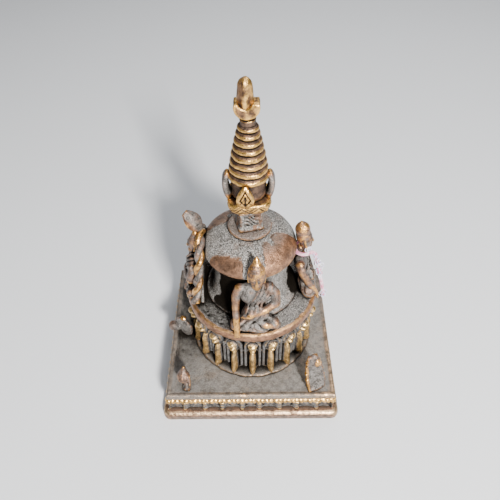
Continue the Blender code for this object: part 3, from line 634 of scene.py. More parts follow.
def make_deck():
    """The slab on top of the plinth: a rounded edge, a raised ridge, a smooth border and a grainy field."""
    base, outward, _, _ = plinth_path(0.85)
    profile = [(30.0, 14.4), (37.4, 14.4), (37.75, 14.7), (37.8, 15.4), (37.7, 16.4), (37.45, 17.1),
               (37.0, 17.42), (36.4, 17.45), (36.0, 17.3), (35.6, 17.12), (34.5, 17.1), (34.0, 17.05)]
    inner = np.column_stack([np.linspace(33.5, 0.5, 44), np.full(44, DECK_TOP - 0.05)])
    line = np.vstack([along_line(profile, 0.35), inner])
    flat = plinth_ring(base[None], outward[None], line[:, None, :1])
    z = np.repeat(line[:, None, 1:], len(base), axis=1)
    points, faces = capped(np.concatenate([flat, z], axis=2))
    top = ramp(points[:, 2], 16.6, 17.0)
    inside = ramp(35.4 - half_width(points), 0.0, 1.0)
    wave = fractal(points, 14.0, 21)
    dents = fractal(points, 2.6, 23)
    grains = fractal(points, 1.0, 25)
    points[:, 2] += top * (0.10 * wave - 0.05) + inside * top * (0.07 * dents + 0.02 * grains - 0.04)
    points[:, :2] *= (1.0 - 0.0025 * ((1.0 - top) * np.abs(dents)))[:, None]
    border = ramp(half_width(points) + 0.4 * fractal(points, 3.0, 27), 35.0, 35.7)
    x, y, _ = points.T

    # Brighter places: worn in the middle of the front border, and painted light on the key light's
    # side: a painted highlight on the right corner and over the right of the field
    polish = 0.42 * border + (0.6 * near_ball(points, (-3.0, -37.4, 17.3), 3.5)
                              + 0.7 * near_ball(points, (37.5, -37.0, 17.0), 6.0)) \
        + 0.45 * ramp(x, 22.0, 34.0) * ramp(-y, -12.0, 10.0)

    # Painted shade: darker round the left side, away from the key light, and right under the pedestal
    soot = ramp(-x, 16.0, 30.0) * (0.24 + 0.24 * ramp(y, -30.0, -12.0)) \
        + 0.12 * ramp(-np.hypot(x - PEDESTAL_X, y), -32.5, -29.5)
    add_piece("plinth_deck_casting", points, faces, "deck", BRONZE, ["plinth_deck"], polish=polish,
              copper=0.35 * border, soot=soot * (1.0 - border))


# Lotus pedestal and platform

PETALS = 20
PETAL_HALF_PITCH = 4.24
PETAL_RADIUS = 27.0


def petal_place(angle):
    """Distance in millimetres from the nearest petal's middle line, without sign."""
    share = (angle + math.pi / 2) * PETALS / (2 * math.pi)
    return np.abs(share - np.round(share)) * 2 * PETAL_HALF_PITCH


def petal_hole(w, z):
    """The arched hollow at the foot of the ribs, halfway between two tongues."""
    return oval(w - PETAL_HALF_PITCH, 1.9, z - 19.6, 2.9, 3)


def petal_ribs(w):
    """The two ribs between neighbouring tongues."""
    return 24.3 + 1.9 * hump(w - 3.3, 0.72, 4)


def hood_outline(z):
    """Half width of a petal's hood at a height."""
    arch = np.clip((z - 40.2) / 5.6, 0, 1)
    return 3.9 * np.sqrt(1 - arch ** 2.0)


def lower_petals(angle, z, radius):
    """Long rounded tongues with two soft ribs and a dark arched hole between them."""
    w = petal_place(angle)
    down = (26.3 - z) / 8.6
    half = 1.85 * np.sqrt(np.clip(1 - np.abs(down) ** 3.0, 0.02, 1))
    crown = np.clip(1 - (w / half) ** 2, 0, 1)
    tongue = 24.9 + 3.0 * crown ** 0.6 - 0.9 * ((z - 22.5) / 11.0) ** 2 * np.sign(z - 22.5)
    tongue += 0.7 * (hump(z - 20.8, 2.0) + 0.6 * hump(z - 29.5, 2.4)) * crown
    tongue = np.where(w < half, tongue, 23.2)
    body = soft_max(tongue, petal_ribs(w) - 3.6 * petal_hole(w, z), 0.25)
    return body + 0.12 * fractal(ring_spots(angle, PETAL_RADIUS, z), 1.8, 31), z


def upper_petals(angle, z, radius):
    """Hooded petals, each with a big round boss and a smaller boss below it, between the ribs."""
    w = petal_place(angle)
    inset = hood_outline(z) - w
    edge = ramp(inset, -0.1, 0.4) * ramp(z, 39.4, 40.2)
    hood = 23.6 + edge * (2.6 + 1.6 * hump(inset - 0.7, 0.75, 4))
    big = 25.4 + 4.3 * oval(w, 2.55, z - 42.1, 1.65, 1.6)
    small = 24.8 + 4.1 * oval(w, 1.75, z - 38.1, 1.25, 1.6)
    stem = 24.0 + 2.6 * hump(w, 1.5, 4) * ramp(-z, -36.9, -36.0)
    bosses = np.maximum(np.where(w < 3.1, np.where(z > 40.0, big, small), 0.0), stem)
    ribs = petal_ribs(w) - 3.0 * ramp(z, 38.6, 40.2)
    body = soft_max(soft_max(np.where(z > 39.2, hood, 22.0), bosses, 0.15), ribs, 0.2)
    return body + 0.10 * fractal(ring_spots(angle, PETAL_RADIUS, z), 1.8, 33), z


def on_petal(points):
    """Each point's distance from its petal's middle line, and its height."""
    return petal_place(np.arctan2(points[:, 1], points[:, 0] - PEDESTAL_X)), points[:, 2]


def tongue_gold(points):
    """Wear on the crowns of the tongues, most low down; none on the ribs."""
    w, z = on_petal(points)
    crown = ramp(2.1 - w, 0.0, 0.9) * ramp(z, 18.0, 19.0)
    return crown * (1.75 - 0.40 * ramp(z, 25.0, 31.0)) - 0.90


def boss_gold(points):
    """Wear on each petal's two bosses, and on the stem below them."""
    w, z = on_petal(points)
    bosses = np.maximum(oval(w, 2.8, z - 42.2, 1.8, 2), oval(w, 2.1, z - 38.2, 1.4, 2))
    stem = ramp(1.7 - w, 0.0, 0.8) * ramp(-z, -36.6, -35.8)
    return 1.7 * np.maximum(bosses, 0.8 * stem) - 0.95


def hood_soot(points):
    """Painted shade in the dark gaps round the hoods, inside them round the big boss, and between the two
    bosses, where shadow falls.
    """
    w, z = on_petal(points)
    inset = hood_outline(z) - w
    gap = ramp(-inset, -0.25, 0.15) * ramp(z, 39.4, 40.2)
    away = np.sqrt((w / 2.2) ** 2 + ((z - 42.0) / 1.65) ** 2)
    inside = ramp(away, 1.1, 1.3) * ramp(inset, 1.45, 1.75) * ramp(z, 39.6, 40.2)
    line = hump(z - 40.0, 0.5) * ramp(3.0 - w, 0.0, 0.6)
    return np.maximum(np.maximum(1.2 * gap, inside), 1.5 * line)


def hole_soot(points):
    """Painted shade in the arched hollows, and in the lines beside the tongues."""
    w, z = on_petal(points)
    return np.maximum(1.3 * petal_hole(w, z), 0.25 * hump(w - 2.25, 0.3))


def make_lotus():
    """The foot ring, the two rows of petals, and the platform's disc."""
    foot = [(20.0, 17.4), (28.1, 17.4), (28.4, 17.6), (28.35, 17.95), (27.9, 18.15), (27.3, 18.2),
            (20.0, 18.2)]

    def foot_shape(angle, z, radius):
        wave = 0.12 * np.sin(PETALS * (angle + math.pi / 2) + 2.0 * np.sin(angle))
        return radius + wave + 0.3 * fractal(ring_spots(angle, PETAL_RADIUS, z), 3.0, 37) - 0.2, z

    turned("lotus_foot", foot, 240, 0.5, "deck", BRONZE, PEDESTAL_X, foot_shape,
           name="lotus_foot_ring", polish=0.45)
    turned("lotus_lower_petals", [(25.0, 18.5), (25.0, 34.1)], 460, 0.34, "lotus", BRASS, PEDESTAL_X,
           lower_petals, name="lotus_lower_casting", polish=tongue_gold, soot=hole_soot)
    turned("lotus_upper_petals", [(25.0, 34.0), (25.0, 46.4)], 500, 0.31, "lotus", BRASS, PEDESTAL_X,
           upper_petals, name="lotus_upper_casting", polish=boss_gold, soot=hood_soot)

    rim = [(15.0, 46.7), (26.6, 46.5), (27.4, 45.9), (28.0, 45.7), (28.5, 46.1), (28.8, 47.0), (28.75, 48.3),
           (28.5, 49.1), (28.2, 49.6), (27.8, 49.93), (27.2, 50.0), (26.6, 49.9), (15.0, 49.85)]

    def rim_shape(angle, z, radius):
        spots = ring_spots(angle, radius, z)
        outer = ramp(radius, 25.0, 27.0)
        inner = ramp(-radius, -26.4, -25.6) * (z > 48.5)
        dents = fractal(spots, 2.2, 43)
        return (radius + outer * (0.2 * fractal(spots, 6.0, 41) + 0.08 * dents - 0.15),
                z + inner * (0.14 * dents + 0.06 * fractal(spots, 0.9, 45) - 0.1))

    def rim_band(p):
        return ramp(np.hypot(p[:, 0] - PEDESTAL_X, p[:, 1]) + 0.5 * fractal(p, 3.0, 47), 26.6, 27.2)

    # Painted shade on the platform's top, most on its left half, in the front figure's shadow; the rim band
    # darker toward its lower edge
    def rim_soot(p):
        band = rim_band(p)
        return (1.0 - band) * (0.15 + 0.34 * ramp(-p[:, 0], -6.0, 6.0)) \
            + band * (0.08 + 0.34 * ramp(-p[:, 2], -48.6, -46.6))

    # The rim band is coppery and brighter along its top edge: worn, with a painted highlight along it
    turned("platform_disc", rim, 320, 0.45, "silver", BRONZE, PEDESTAL_X, rim_shape,
           copper=lambda p: 0.95 * rim_band(p), soot=rim_soot,
           polish=lambda p: rim_band(p) * (0.2 + 0.75 * ramp(p[:, 2], 49.2, 49.8)))


# Vase and dome

# How far up the dome, in degrees of arc, its smooth lobes reach at each bearing
LOBE_BEARINGS = (-95, -56, -54, -46, -38, -30, -19, -12, -9.5, -8, 12, 14, 20, 22, 25, 32, 40, 43, 50, 56,
                 66, 78, 84, 86)
LOBE_ARCS = (0, 0, 26, 36, 43, 46, 48, 46, 40, 0, 0, 16, 34, 58, 65, 69, 66, 59, 60, 69, 70, 64, 40, 0)


def bearing(points, axis_x):
    """Direction of each point from an axis, in degrees: 0 is the front, 90 the right."""
    return np.degrees(np.arctan2(points[:, 0] - axis_x, -points[:, 1]))


def uneven(amount, seed):
    """A turned shape's waves, dents and casting grain."""
    def shape(angle, z, radius):
        spots = ring_spots(angle, radius, z)
        push = amount * (0.4 * fractal(spots, 5.0, seed) + 0.25 * fractal(spots, 1.6, seed + 1)
                         + 0.12 * fractal(spots, 0.8, seed + 2) - 0.35)
        return radius + push, z + 0.4 * push
    return shape


def vase_soot(points):
    """Painted shade on the vase, where the shoulder and the figures shade it: most under the shoulder, and
    more on the left than on the right.
    """
    around = bearing(points, PEDESTAL_X) + 6.0 * fractal(points, 5.0, 53)
    left = ramp(-around, 4.0, 16.0) * ramp(around, -60.0, -51.0)
    right = ramp(around, 62.0, 76.0)
    return 0.04 + 1.3 * np.maximum(left, right) + 0.35 * ramp(points[:, 2], 70.0, 73.0)


def lobe_edge(around):
    """The lobes' upper edge at a bearing, in degrees of arc. The back repeats the front."""
    return np.interp((around + 95.0) % 180.0 - 95.0, LOBE_BEARINGS, LOBE_ARCS)


def dome_arc(z):
    """How far up the dome a height lies, in degrees of arc."""
    return np.degrees(np.arcsin(np.clip((z - DOME_BELT) / DOME_RISE, -0.1, 1.0)))


def dome_patches(points):
    """0 to 1 where the dome's shoulder is rubbed smooth and brown, in two lobes on each half."""
    around = bearing(points, DOME_X) + 1.5 * fractal(points, 2.2, 61)
    edge = lobe_edge(around) + 4.0 * fractal(points, 1.2, 63)
    arc = dome_arc(points[:, 2])
    inside = ramp(edge - arc, 0.0, 4.0) * ramp(edge, 4.0, 12.0)
    return inside * (0.95 - 0.35 * ramp(arc, 40.0, 62.0))


def wide_lobe(points):
    """0 to 1 on the side of the dome that has the wider lobe."""
    return ramp((points[:, 0] - DOME_X) * np.sign(-points[:, 1]), 3.0, 6.0)


def dome_polish(points):
    """Worn on both lobes, with painted light on the lower part of the wider lobe, which faces the key light,
    so it is brighter than the long one.
    """
    low = ramp(-dome_arc(points[:, 2]), -55.0, -35.0)
    return dome_patches(points) * (0.15 + 0.55 * wide_lobe(points) * low) - 0.1


def dome_soot(points):
    """Painted shade: the long lobe, away from the key light, and the top of the wide one are darker, with
    blotches of darker tone on both.
    """
    blotches = 0.14 * ramp(fractal(points, 4.5, 63), -0.1, 0.4)
    low = ramp(-dome_arc(points[:, 2]), -66.0, -42.0)
    return dome_patches(points) * (0.56 - 0.50 * wide_lobe(points) * low + blotches)


def dome_shape(angle, z, radius):
    """The dome's casting grain, with its smooth lobes standing a little proud of a thin groove."""
    spots = ring_spots(angle, radius, z)
    edge = lobe_edge(np.degrees(angle) + 90.0)
    arc = dome_arc(z)
    lobed = ramp(edge, 4.0, 12.0)
    inside = ramp(edge - arc, -1.0, 3.0) * lobed
    groove = hump(arc - edge, 2.2) * lobed
    grain = fractal(spots, 0.7, 56) * (1.0 - 0.85 * inside)
    push = 0.02 * grain + 0.10 * fractal(spots, 5.0, 55) + 0.14 * inside - 0.20 * groove - 0.2
    steep = np.cos(np.radians(np.clip(arc, 0, 90)))
    return radius + push * np.maximum(steep, 0.3), z + push * (1.0 - steep)


def make_vase():
    """The vase, its domed shoulder and the collar on top."""
    body = curved([(12.0, 50.3), (19.3, 50.3), (19.9, 50.7), (19.9, 51.3), (19.4, 52.0), (18.0, 53.3),
                   (16.9, 55.5), (16.3, 58.0), (15.8, 63.3), (15.9, 68.0), (16.2, 73.4), (12.0, 73.4)], 6)
    turned("vase_body", body, 210, 0.52, "silver", BRONZE, PEDESTAL_X, uneven(0.3, 51), soot=vase_soot)

    dome = [(12.0, 73.7), (18.0, 73.7), (18.7, 73.95), (19.15, 74.4), (19.3, 75.0)]
    for k in range(21):
        angle = math.radians(84 * k / 20)
        dome.append((19.3 * math.cos(angle) ** 0.62, DOME_BELT + DOME_RISE * math.sin(angle)))
    turned("vase_shoulder", dome, 330, 0.38, "silver", BRASS, DOME_X, dome_shape, name="dome_casting",
           copper=dome_patches, polish=dome_polish, soot=dome_soot)

    collar = [(4.0, 84.9), (8.3, 84.9), (8.75, 85.2), (8.8, 85.6), (8.5, 86.0), (7.9, 86.2), (4.0, 86.2)]
    turned("dome_collar", collar, 130, 0.35, "silver", BRONZE, COLLAR_X, uneven(0.16, 57), copper=0.25)


# Spire

SPIRE_LOW = 109.0
SPIRE_TOP = 130.4
SPIRE_RINGS = 8


def spire_edges():
    """Heights between the spire's rings, which get lower upwards."""
    weights = [1.3 - 0.3 * k / (SPIRE_RINGS - 1) for k in range(SPIRE_RINGS)]
    edges = [SPIRE_LOW]
    for weight in weights:
        edges.append(edges[-1] + (SPIRE_TOP - SPIRE_LOW) * weight / sum(weights))
    return edges


def ring_share(points):
    """How far up its ring a point lies, from 0 to 1; -1 off the rings."""
    edges = np.array(spire_edges())
    z = points[:, 2]
    k = np.clip(np.searchsorted(edges, z) - 1, 0, SPIRE_RINGS - 1)
    share = (z - edges[k]) / (edges[k + 1] - edges[k])
    return np.where((z > SPIRE_LOW) & (z < SPIRE_TOP), share, -1.0)


def ring_crest_wear_and_highlight(points):
    """A bright line along each ring's crest: worn metal, and a painted highlight where the key light catches
    each ring's upper side.
    """
    return 1.15 * hump(ring_share(points) - 0.56, 0.17) * (1.0 + 0.6 * fractal(points, 4.0, 75)) - 0.40


def ring_soot(points):
    """Grime in the grooves between the rings, and painted shade on the neck below them, in the shadow of the
    rings above.
    """
    share = ring_share(points)
    groove = np.maximum(ramp(-share, -0.16, -0.04), ramp(share, 0.86, 0.98))
    return np.where(share < 0, 0.22, 0.45 * groove)


def make_spire():
    """A neck, rings that get smaller upwards, and a stem for the finial."""
    edges = spire_edges()
    profile = [(3.0, 101.8), (6.0, 101.8), (6.5, 102.4), (6.6, 103.6), (6.35, 105.2), (6.4, 107.4),
               (6.5, 108.4)]
    for start, end in zip(edges, edges[1:]):
        tall = end - start
        share = (start + tall / 2 - SPIRE_LOW) / (SPIRE_TOP - SPIRE_LOW)
        radius = 7.7 - 4.2 * share ** 1.30
        for at, inset in ((0.03, 1.05), (0.13, 0.62), (0.22, 0.20), (0.36, 0.0), (0.55, 0.0),
                          (0.70, 0.16), (0.82, 0.52), (0.95, 1.0)):
            profile.append((radius - inset, start + at * tall))
    profile += [(2.9, 130.8), (2.85, 131.6), (2.9, 132.3), (0.6, 132.3)]

    def shape(angle, z, radius):
        spots = ring_spots(angle, radius, z)
        return radius + 0.16 * fractal(spots, 3.2, 71) - 0.1, z + 0.15 * fractal(spots, 6.0, 77)

    turned("spire", profile, 130, 0.26, "brass", BRASS, BOX_X, shape, polish=ring_crest_wear_and_highlight, soot=ring_soot)


# Clay


class Clay:
    """Shapes fused on a grid of signed distances, then meshed with surface nets."""

    def __init__(self, low, high, cell):
        self.low = np.array(low, dtype=float)
        self.cell = cell
        counts = np.ceil((np.array(high) - self.low) / cell).astype(int) + 1
        axes = [self.low[k] + cell * np.arange(counts[k]) for k in range(3)]
        self.x, self.y, self.z = (a.astype(np.float32) for a in np.meshgrid(*axes, indexing="ij"))
        self.field = np.full(self.x.shape, 50.0, dtype=np.float32)

    def at(self, *spot):
        """Where a point of a ball or rod is put. A figure puts its own lean and height here."""
        return spot

    def add(self, distance, soft=0.5):
        self.field = -soft_max(-distance, -self.field, soft)

    def cut(self, distance, soft):
        self.field = soft_max(-distance, self.field, soft)

    def ball(self, centre, radii):
        """Distance to an ellipsoid, near enough close to its surface."""
        scaled = [(a - c) / r for a, c, r in zip((self.x, self.y, self.z), self.at(*centre), radii)]
        near = np.sqrt(sum(s * s for s in scaled)) + 1e-6
        slope = np.sqrt(sum((s / r) ** 2 for s, r in zip(scaled, radii))) + 1e-6
        return near * (near - 1.0) / slope

    def rod(self, points, radii):
        """Distance to a chain of tapering round rods."""
        points = [np.array(self.at(*point), dtype=float) for point in points]
        best = np.inf
        for a, b, ra, rb in zip(points, points[1:], radii, radii[1:]):
            run = b - a
            px, py, pz = self.x - a[0], self.y - a[1], self.z - a[2]
            share = np.clip((px * run[0] + py * run[1] + pz * run[2]) / (run @ run), 0, 1)
            away = np.sqrt((px - share * run[0]) ** 2 + (py - share * run[1]) ** 2
                           + (pz - share * run[2]) ** 2) - (ra + (rb - ra) * share)
            best = np.minimum(best, away)
        return best

    def add_ball(self, centre, radii, soft=0.5):
        self.add(self.ball(centre, radii), soft)

    def add_rod(self, points, radii, soft=0.5):
        self.add(self.rod(points, radii), soft)

    def mesh(self):
        """Points and outward quads of the surface."""
        field = self.field
        inside = field < 0
        nx, ny, nz = (n - 1 for n in field.shape)
        corners = [(i, j, k) for i in (0, 1) for j in (0, 1) for k in (0, 1)]
        filled = sum(inside[i:i + nx, j:j + ny, k:k + nz].astype(np.int8) for i, j, k in corners)
        cells = np.argwhere((filled > 0) & (filled < 8))
        index = np.full((nx, ny, nz), -1, dtype=np.int64)
        index[tuple(cells.T)] = np.arange(len(cells))
        total = np.zeros((len(cells), 3))
        hits = np.zeros(len(cells))
        for start in corners:
            for axis in range(3):
                if start[axis]:
                    continue
                end = list(start)
                end[axis] = 1
                a = field[tuple((cells + start).T)]
                b = field[tuple((cells + end).T)]
                crossed = (a < 0) != (b < 0)
                spot = np.tile(np.array(start, dtype=float), (len(cells), 1))
                spot[:, axis] = np.where(crossed, a / np.where(crossed, a - b, 1.0), 0.0)
                total += spot * crossed[:, None]
                hits += crossed
        points = self.low + self.cell * (cells + total / hits[:, None])
        faces = []
        for axis in range(3):
            u, v = (axis + 1) % 3, (axis + 2) % 3
            first = [slice(None)] * 3
            second = [slice(None)] * 3
            first[axis] = slice(None, -1)
            second[axis] = slice(1, None)
            spots = np.argwhere(inside[tuple(first)] != inside[tuple(second)])
            step_u, step_v = np.eye(3, dtype=int)[[u, v]]
            good = [(spots[:, k] > 0) & (spots[:, k] < index.shape[k]) for k in (u, v)]
            spots = spots[good[0] & good[1]]
            quad = np.stack([index[tuple(s.T)] for s in
                             (spots - step_u - step_v, spots - step_v, spots, spots - step_u)], axis=1)
            outward = inside[tuple(spots.T)]
            quad[~outward] = quad[~outward][:, ::-1]
            faces.append(quad)
        return points, np.vstack(faces)


def relaxed(points, quads):
    """Points moved half of the way to their neighbours' middle."""
    edges = np.vstack([quads[:, (k, (k + 1) % 4)] for k in range(4)])
    return points + 0.5 * (neighbour_mean(points, edges, len(points)) - points)


def roughened(points, amount, size, seed):
    """Points moved a little in all directions, as a worn casting is."""
    return points + amount * np.stack([fractal(points, size, seed + k) for k in range(3)], axis=1)


def placed(points, quarter_turns, shift_x=0.0, shift_out=0.0, centre_x=PEDESTAL_X):
    """Points modelled at the front, turned to another side of the axis."""
    c, s = circle(90 * quarter_turns)
    x = points[:, 0] + shift_x
    y = points[:, 1] - shift_out
    return np.column_stack([centre_x + c * x - s * y, s * x + c * y, points[:, 2]])


def clay_piece(node, clay, place, look, slot, seed, rough=0.07, **paint):
    """A clay's mesh, put in its place, that stands for a node. Its paint sees the points as they
    are modelled."""
    points, faces = clay.mesh()
    points = roughened(relaxed(points, faces), rough, 1.6, seed)
    paint = {layer: painted(brush, points) for layer, brush in paint.items()}
    add_piece(f"{node}_casting", place(points), faces, look, slot, [node], **paint)


# Seated figures

# Each figure: side, shift to its right, head's own shift, body and head forward, lean, lift, the
# heights of the head's base and top, how worn it is, and its soot, which on the left figure is
# painted shade: that figure sits away from the key light, in the backplate's shadow
FIGURES = (
    ("front", 1.1, 0.6, 0.0, 0.0, 3.1, 2.5, 74.0, 87.9, 1.0, 0.0),
    ("right", 0.0, 0.0, 0.0, 0.0, 2.6, 0.6, 72.2, 87.2, 0.70, 0.12),
    ("back", 0.0, 0.0, 0.0, 0.0, 3.1, 2.5, 74.0, 87.9, 0.9, 0.0),
    ("left", 0.0, 0.0, 1.7, 1.0, 0.0, 0.0, 71.2, 83.2, 0.45, 0.45),
)


def figure_body_clay(lean, lift):
    """A seated figure facing -Y: crossed legs, one hand down over the rim, one arm in the lap.
    Returns the clay and the lines along which it is worn bright: (line, reach, amount)."""
    clay = Clay((-12.2, -29.4, 49.0), (11.6, -14.6, 75.4), 0.32)

    def at(x, out, z):
        """A point of the upright figure, leaned back and raised as its height asks."""
        share = min(max((z - 55.0) / 12.0, 0.0), 1.0)
        return (x, -(out - lean * share), z + lift * share)

    clay.at = at
    ball, rod = clay.add_ball, clay.add_rod

    # Legs
    ball((0.0, 23.6, 53.0), (9.3, 3.3, 2.6))
    rod([(-2.0, 22.6, 55.0), (-7.6, 24.0, 53.3)], (2.6, 2.3), 0.8)
    rod([(2.0, 22.6, 55.0), (7.9, 24.0, 53.3)], (2.6, 2.3), 0.8)
    rod([(-8.0, 24.8, 52.8), (3.8, 26.2, 52.1)], (1.9, 1.4), 0.4)

    # Cloth over the legs: arcs round the upturned foot, and slanting folds beside it
    round_foot = np.hypot((clay.x - 4.6) / 1.45, (clay.z - 54.6) * 1.15)
    arcs = np.where(clay.x > -1.0, round_foot, 0.62 * clay.x - 0.78 * clay.z)
    low = ramp(57.5 - clay.z, 0.0, 1.0)
    clay.field = clay.field - low * 0.75 * (ripples(math.pi * arcs / 1.9, 0.7) - 0.6)
    foot = [(7.0, 25.2, 53.6), (4.4, 26.0, 54.7), (1.6, 25.6, 56.0)]
    rod(foot, (1.3, 1.5, 1.0), 0.15)

    # Trunk, shoulders and neck
    ball((0.0, 24.0, 58.4), (4.9, 2.6, 4.6), 1.2)
    ball((0.0, 23.0, 64.6), (5.7, 2.5, 4.8), 1.2)
    rod([(-5.6, 22.4, 67.4), (0.0, 22.4, 68.6), (5.4, 22.4, 67.4)], (1.9, 2.0, 2.0), 1.2)
    rod([(0.0, 22.3, 68.5), (0.0, 22.9, 72.2)], (1.9, 1.7), 0.8)

    # The robe lies over the left shoulder, with a raised hem and slanting folds
    slant = 0.89 * clay.x - 0.456 * (clay.z - 66.5 - 0.8 * lift) - 0.4
    robe = ramp(slant, -1.1, -0.6) * ramp(clay.z, 56.5, 58.0)
    folds = ripples(math.pi * (slant + 0.3 * np.sin(0.7 * clay.z)) / 1.65, 0.6)
    clay.field = clay.field - robe * (0.3 + 0.95 * (folds - 0.6)) \
        - 0.35 * hump(slant + 0.7, 0.4) * ramp(clay.z, 57.0, 59.0)

    # Right arm with its fingers, then the left arm, its shadow on the chest, and its hand
    right = [(-6.1, 22.6, 67.8), (-7.5, 22.9, 64.6), (-7.7, 24.0, 60.4), (-7.5, 25.5, 56.4),
             (-7.3, 27.2, 52.8), (-7.3, 27.9, 51.2)]
    rod(right, (1.9, 1.75, 1.5, 1.35, 1.15, 1.1), 0.35)
    for k, spread in enumerate((-0.95, -0.3, 0.35, 0.95)):
        rod([(-7.3 + 0.7 * spread, 27.9, 51.2), (-7.3 + spread, 28.5, 49.7 + 0.12 * k)], (0.55, 0.4), 0.12)
    left = [(5.9, 22.6, 67.8), (7.9, 22.9, 65.6), (8.3, 23.8, 62.4), (3.4, 25.6, 60.6), (-2.2, 26.6, 59.2)]
    clay.cut(clay.rod([(6.6, 24.9, 64.0), (-2.8, 26.6, 61.9)], (0.45, 0.5)), 0.3)
    rod(left, (1.95, 2.0, 1.8, 1.6, 1.3), 0.2)
    ball((-3.4, 26.4, 58.9), (1.7, 1.2, 0.9), 0.3)
    for k in range(3):
        rod([(-3.6, 26.9 - 0.5 * k, 59.0 - 0.25 * k), (-5.4, 26.7 - 0.6 * k, 58.7 - 0.3 * k)],
            (0.42, 0.32), 0.12)
    clay.cut(clay.z - 49.4 - 0.9 * (clay.y > -27.0), 0.1)
    knee = [(-8.6, 24.8, 52.8), (-6.0, 26.4, 52.2)]
    worn = ((right[:3], 2.7, 0.55), (right[3:], 2.4, 1.25), (left[1:3], 2.9, 0.55), (left[2:], 2.5, 0.85),
            (foot[:2], 2.0, 1.1), (knee, 2.0, 0.5))
    return clay, [([at(*spot) for spot in line], reach, amount) for line, reach, amount in worn]


def figure_head_clay(base, top, lean, bulk):
    """A head with long ears, a hairline and a pointed topknot, fuller with bulk, and a plain calm
    face."""
    clay = Clay((-4.9, -26.6, 70.6), (4.9, -16.8, 88.6), 0.22)
    tall = (top - base) / 16.7
    wide = 0.5 + 0.5 * min(tall, 1.0)

    def at(x, out, z):
        return (x * wide, -(out - lean * max(z - 74.0, 0.0) / 14.0), base + (z - 71.2) * tall)

    def size(x, y, z):
        return (x * wide, y, z * tall)

    clay.at = at
    ball, rod = clay.add_ball, clay.add_rod
    ball((0, 22.2, 78.0), size(3.35, 2.75, 5.1))
    ball((0, 22.4, 75.3), size(2.5, 2.1, 3.0), 0.8)
    rod([(0, 21.8, 74.5), (0, 21.6, 71.3)], (1.9, 1.9), 0.5)
    ball((0, 21.6, 79.6), size(3.55, 3.0, 4.3), 0.2)
    rod([(0, 21.6, 83.0), (0, 21.6, 85.4), (0, 21.7, 87.3)], (1.9, 1.2, 0.5), 0.8)
    if bulk:
        ball((0, 21.7, 83.2), size(2.9, 3.0, 3.6), 0.8)
    curls = ripples(math.pi * (clay.z + 0.25 * clay.x ** 2 / 3.0) / 0.95, 0.6)
    hair = ramp(clay.z, at(0, 0, 80.2)[2], at(0, 0, 80.8)[2])
    clay.field = clay.field - 0.16 * hair * (curls - 0.6)

    # Ear, eye socket, eyeball, lid line, brow and nostril on each side, then nose, lips and chin
    for side in (-1, 1):
        rod([(3.3 * side, 22.0, 79.0), (3.45 * side, 22.0, 77.0), (3.15 * side, 22.3, 74.8)],
            (0.5, 0.42, 0.5), 0.25)
        clay.cut(clay.ball((1.3 * side, 25.1, 77.7), size(0.95, 0.62, 0.6)), 0.5)
        ball((1.3 * side, 24.45, 77.6), size(0.8, 0.42, 0.42), 0.15)
        lid = [(0.65 * side, 24.95, 77.4), (1.3 * side, 25.0, 77.25), (1.95 * side, 24.75, 77.45)]
        clay.cut(clay.rod(lid, (0.1, 0.14, 0.1)), 0.1)
        rod([(0.45 * side, 25.0, 78.5), (1.3 * side, 25.0, 78.85), (2.3 * side, 24.4, 78.4)],
            (0.2, 0.24, 0.15), 0.3)
        ball((0.42 * side, 25.1, 75.95), (0.34, 0.36, 0.28), 0.2)
    rod([(0, 24.9, 78.4), (0, 25.35, 76.2)], (0.28, 0.46), 0.35)
    rod([(-0.85, 24.45, 74.85), (-0.3, 24.75, 75.0), (0.3, 24.75, 75.0), (0.85, 24.45, 74.85)],
        (0.12, 0.22, 0.22, 0.12), 0.15)
    rod([(-0.65, 24.45, 74.5), (0, 24.72, 74.4), (0.65, 24.45, 74.5)], (0.12, 0.26, 0.12), 0.15)
    ball((0, 24.0, 73.4), (0.95, 0.75, 0.7), 0.5)
    return clay


def make_figures():
    """A body and a head on each side."""
    for k, (side, shift, head_shift, out, head_out, lean, lift, base, top, gold, soot) in enumerate(FIGURES):
        body, worn = figure_body_clay(lean, lift)

        def rubbed(p):
            best = np.zeros(len(p))
            for line, reach, amount in worn:
                best = np.maximum(best, amount * near_line(p, line, reach))
            return gold * best - 0.42

        clay_piece(f"figure_{side}_body", body, lambda p: placed(p, k, shift, out), "figure", BRASS,
                   80 + k, polish=rubbed, soot=soot,
                   copper=lambda p: 0.45 * ramp(fractal(p, 4.0, 141), 0.0, 0.4))
        head = figure_head_clay(base, top, 0.0 if side == "left" else 2.2, side == "right")
        clay_piece(f"figure_{side}_head", head, lambda p: placed(p, k, shift + head_shift, head_out),
                   "figure", BRASS, 90 + k, rough=0.04, soot=soot,
                   polish=lambda p: gold * (0.42 + 0.5 * fractal(p, 3.0, 143)))


# Leaves, box and finial


def leaf_mesh(path, widths, thickness, cup, face, across):
    """A bent leaf facing -Y. The path holds (out, height), widths the half widths; cup bends the
    edges forward, and face(t, share, half) raises the front."""
    path = along_line(path, 0.22)
    share = np.linspace(0, 1, len(path))
    half = np.interp(share, np.linspace(0, 1, len(widths)), widths)
    run = np.gradient(path, axis=0)
    run /= np.linalg.norm(run, axis=1)[:, None]
    t = np.sin(np.linspace(-math.pi / 2, math.pi / 2, across))
    edge = np.sqrt(np.clip(1 - t ** 4, 0, 1)) * thickness / 2
    rings = []
    for k, (out, z) in enumerate(path):
        bend = cup * half[k] * t * t
        lift = face(t, share[k], half[k]) if face else 0.0
        forward = np.concatenate([bend + edge + lift * (edge > 0), (bend - edge)[::-1][1:-1]])
        side = np.concatenate([t, t[::-1][1:-1]]) * half[k]
        normal = (-run[k][1], -run[k][0])
        rings.append(np.column_stack([side, -out + forward * normal[0], z + forward * normal[1]]))
    return capped(np.array(rings))


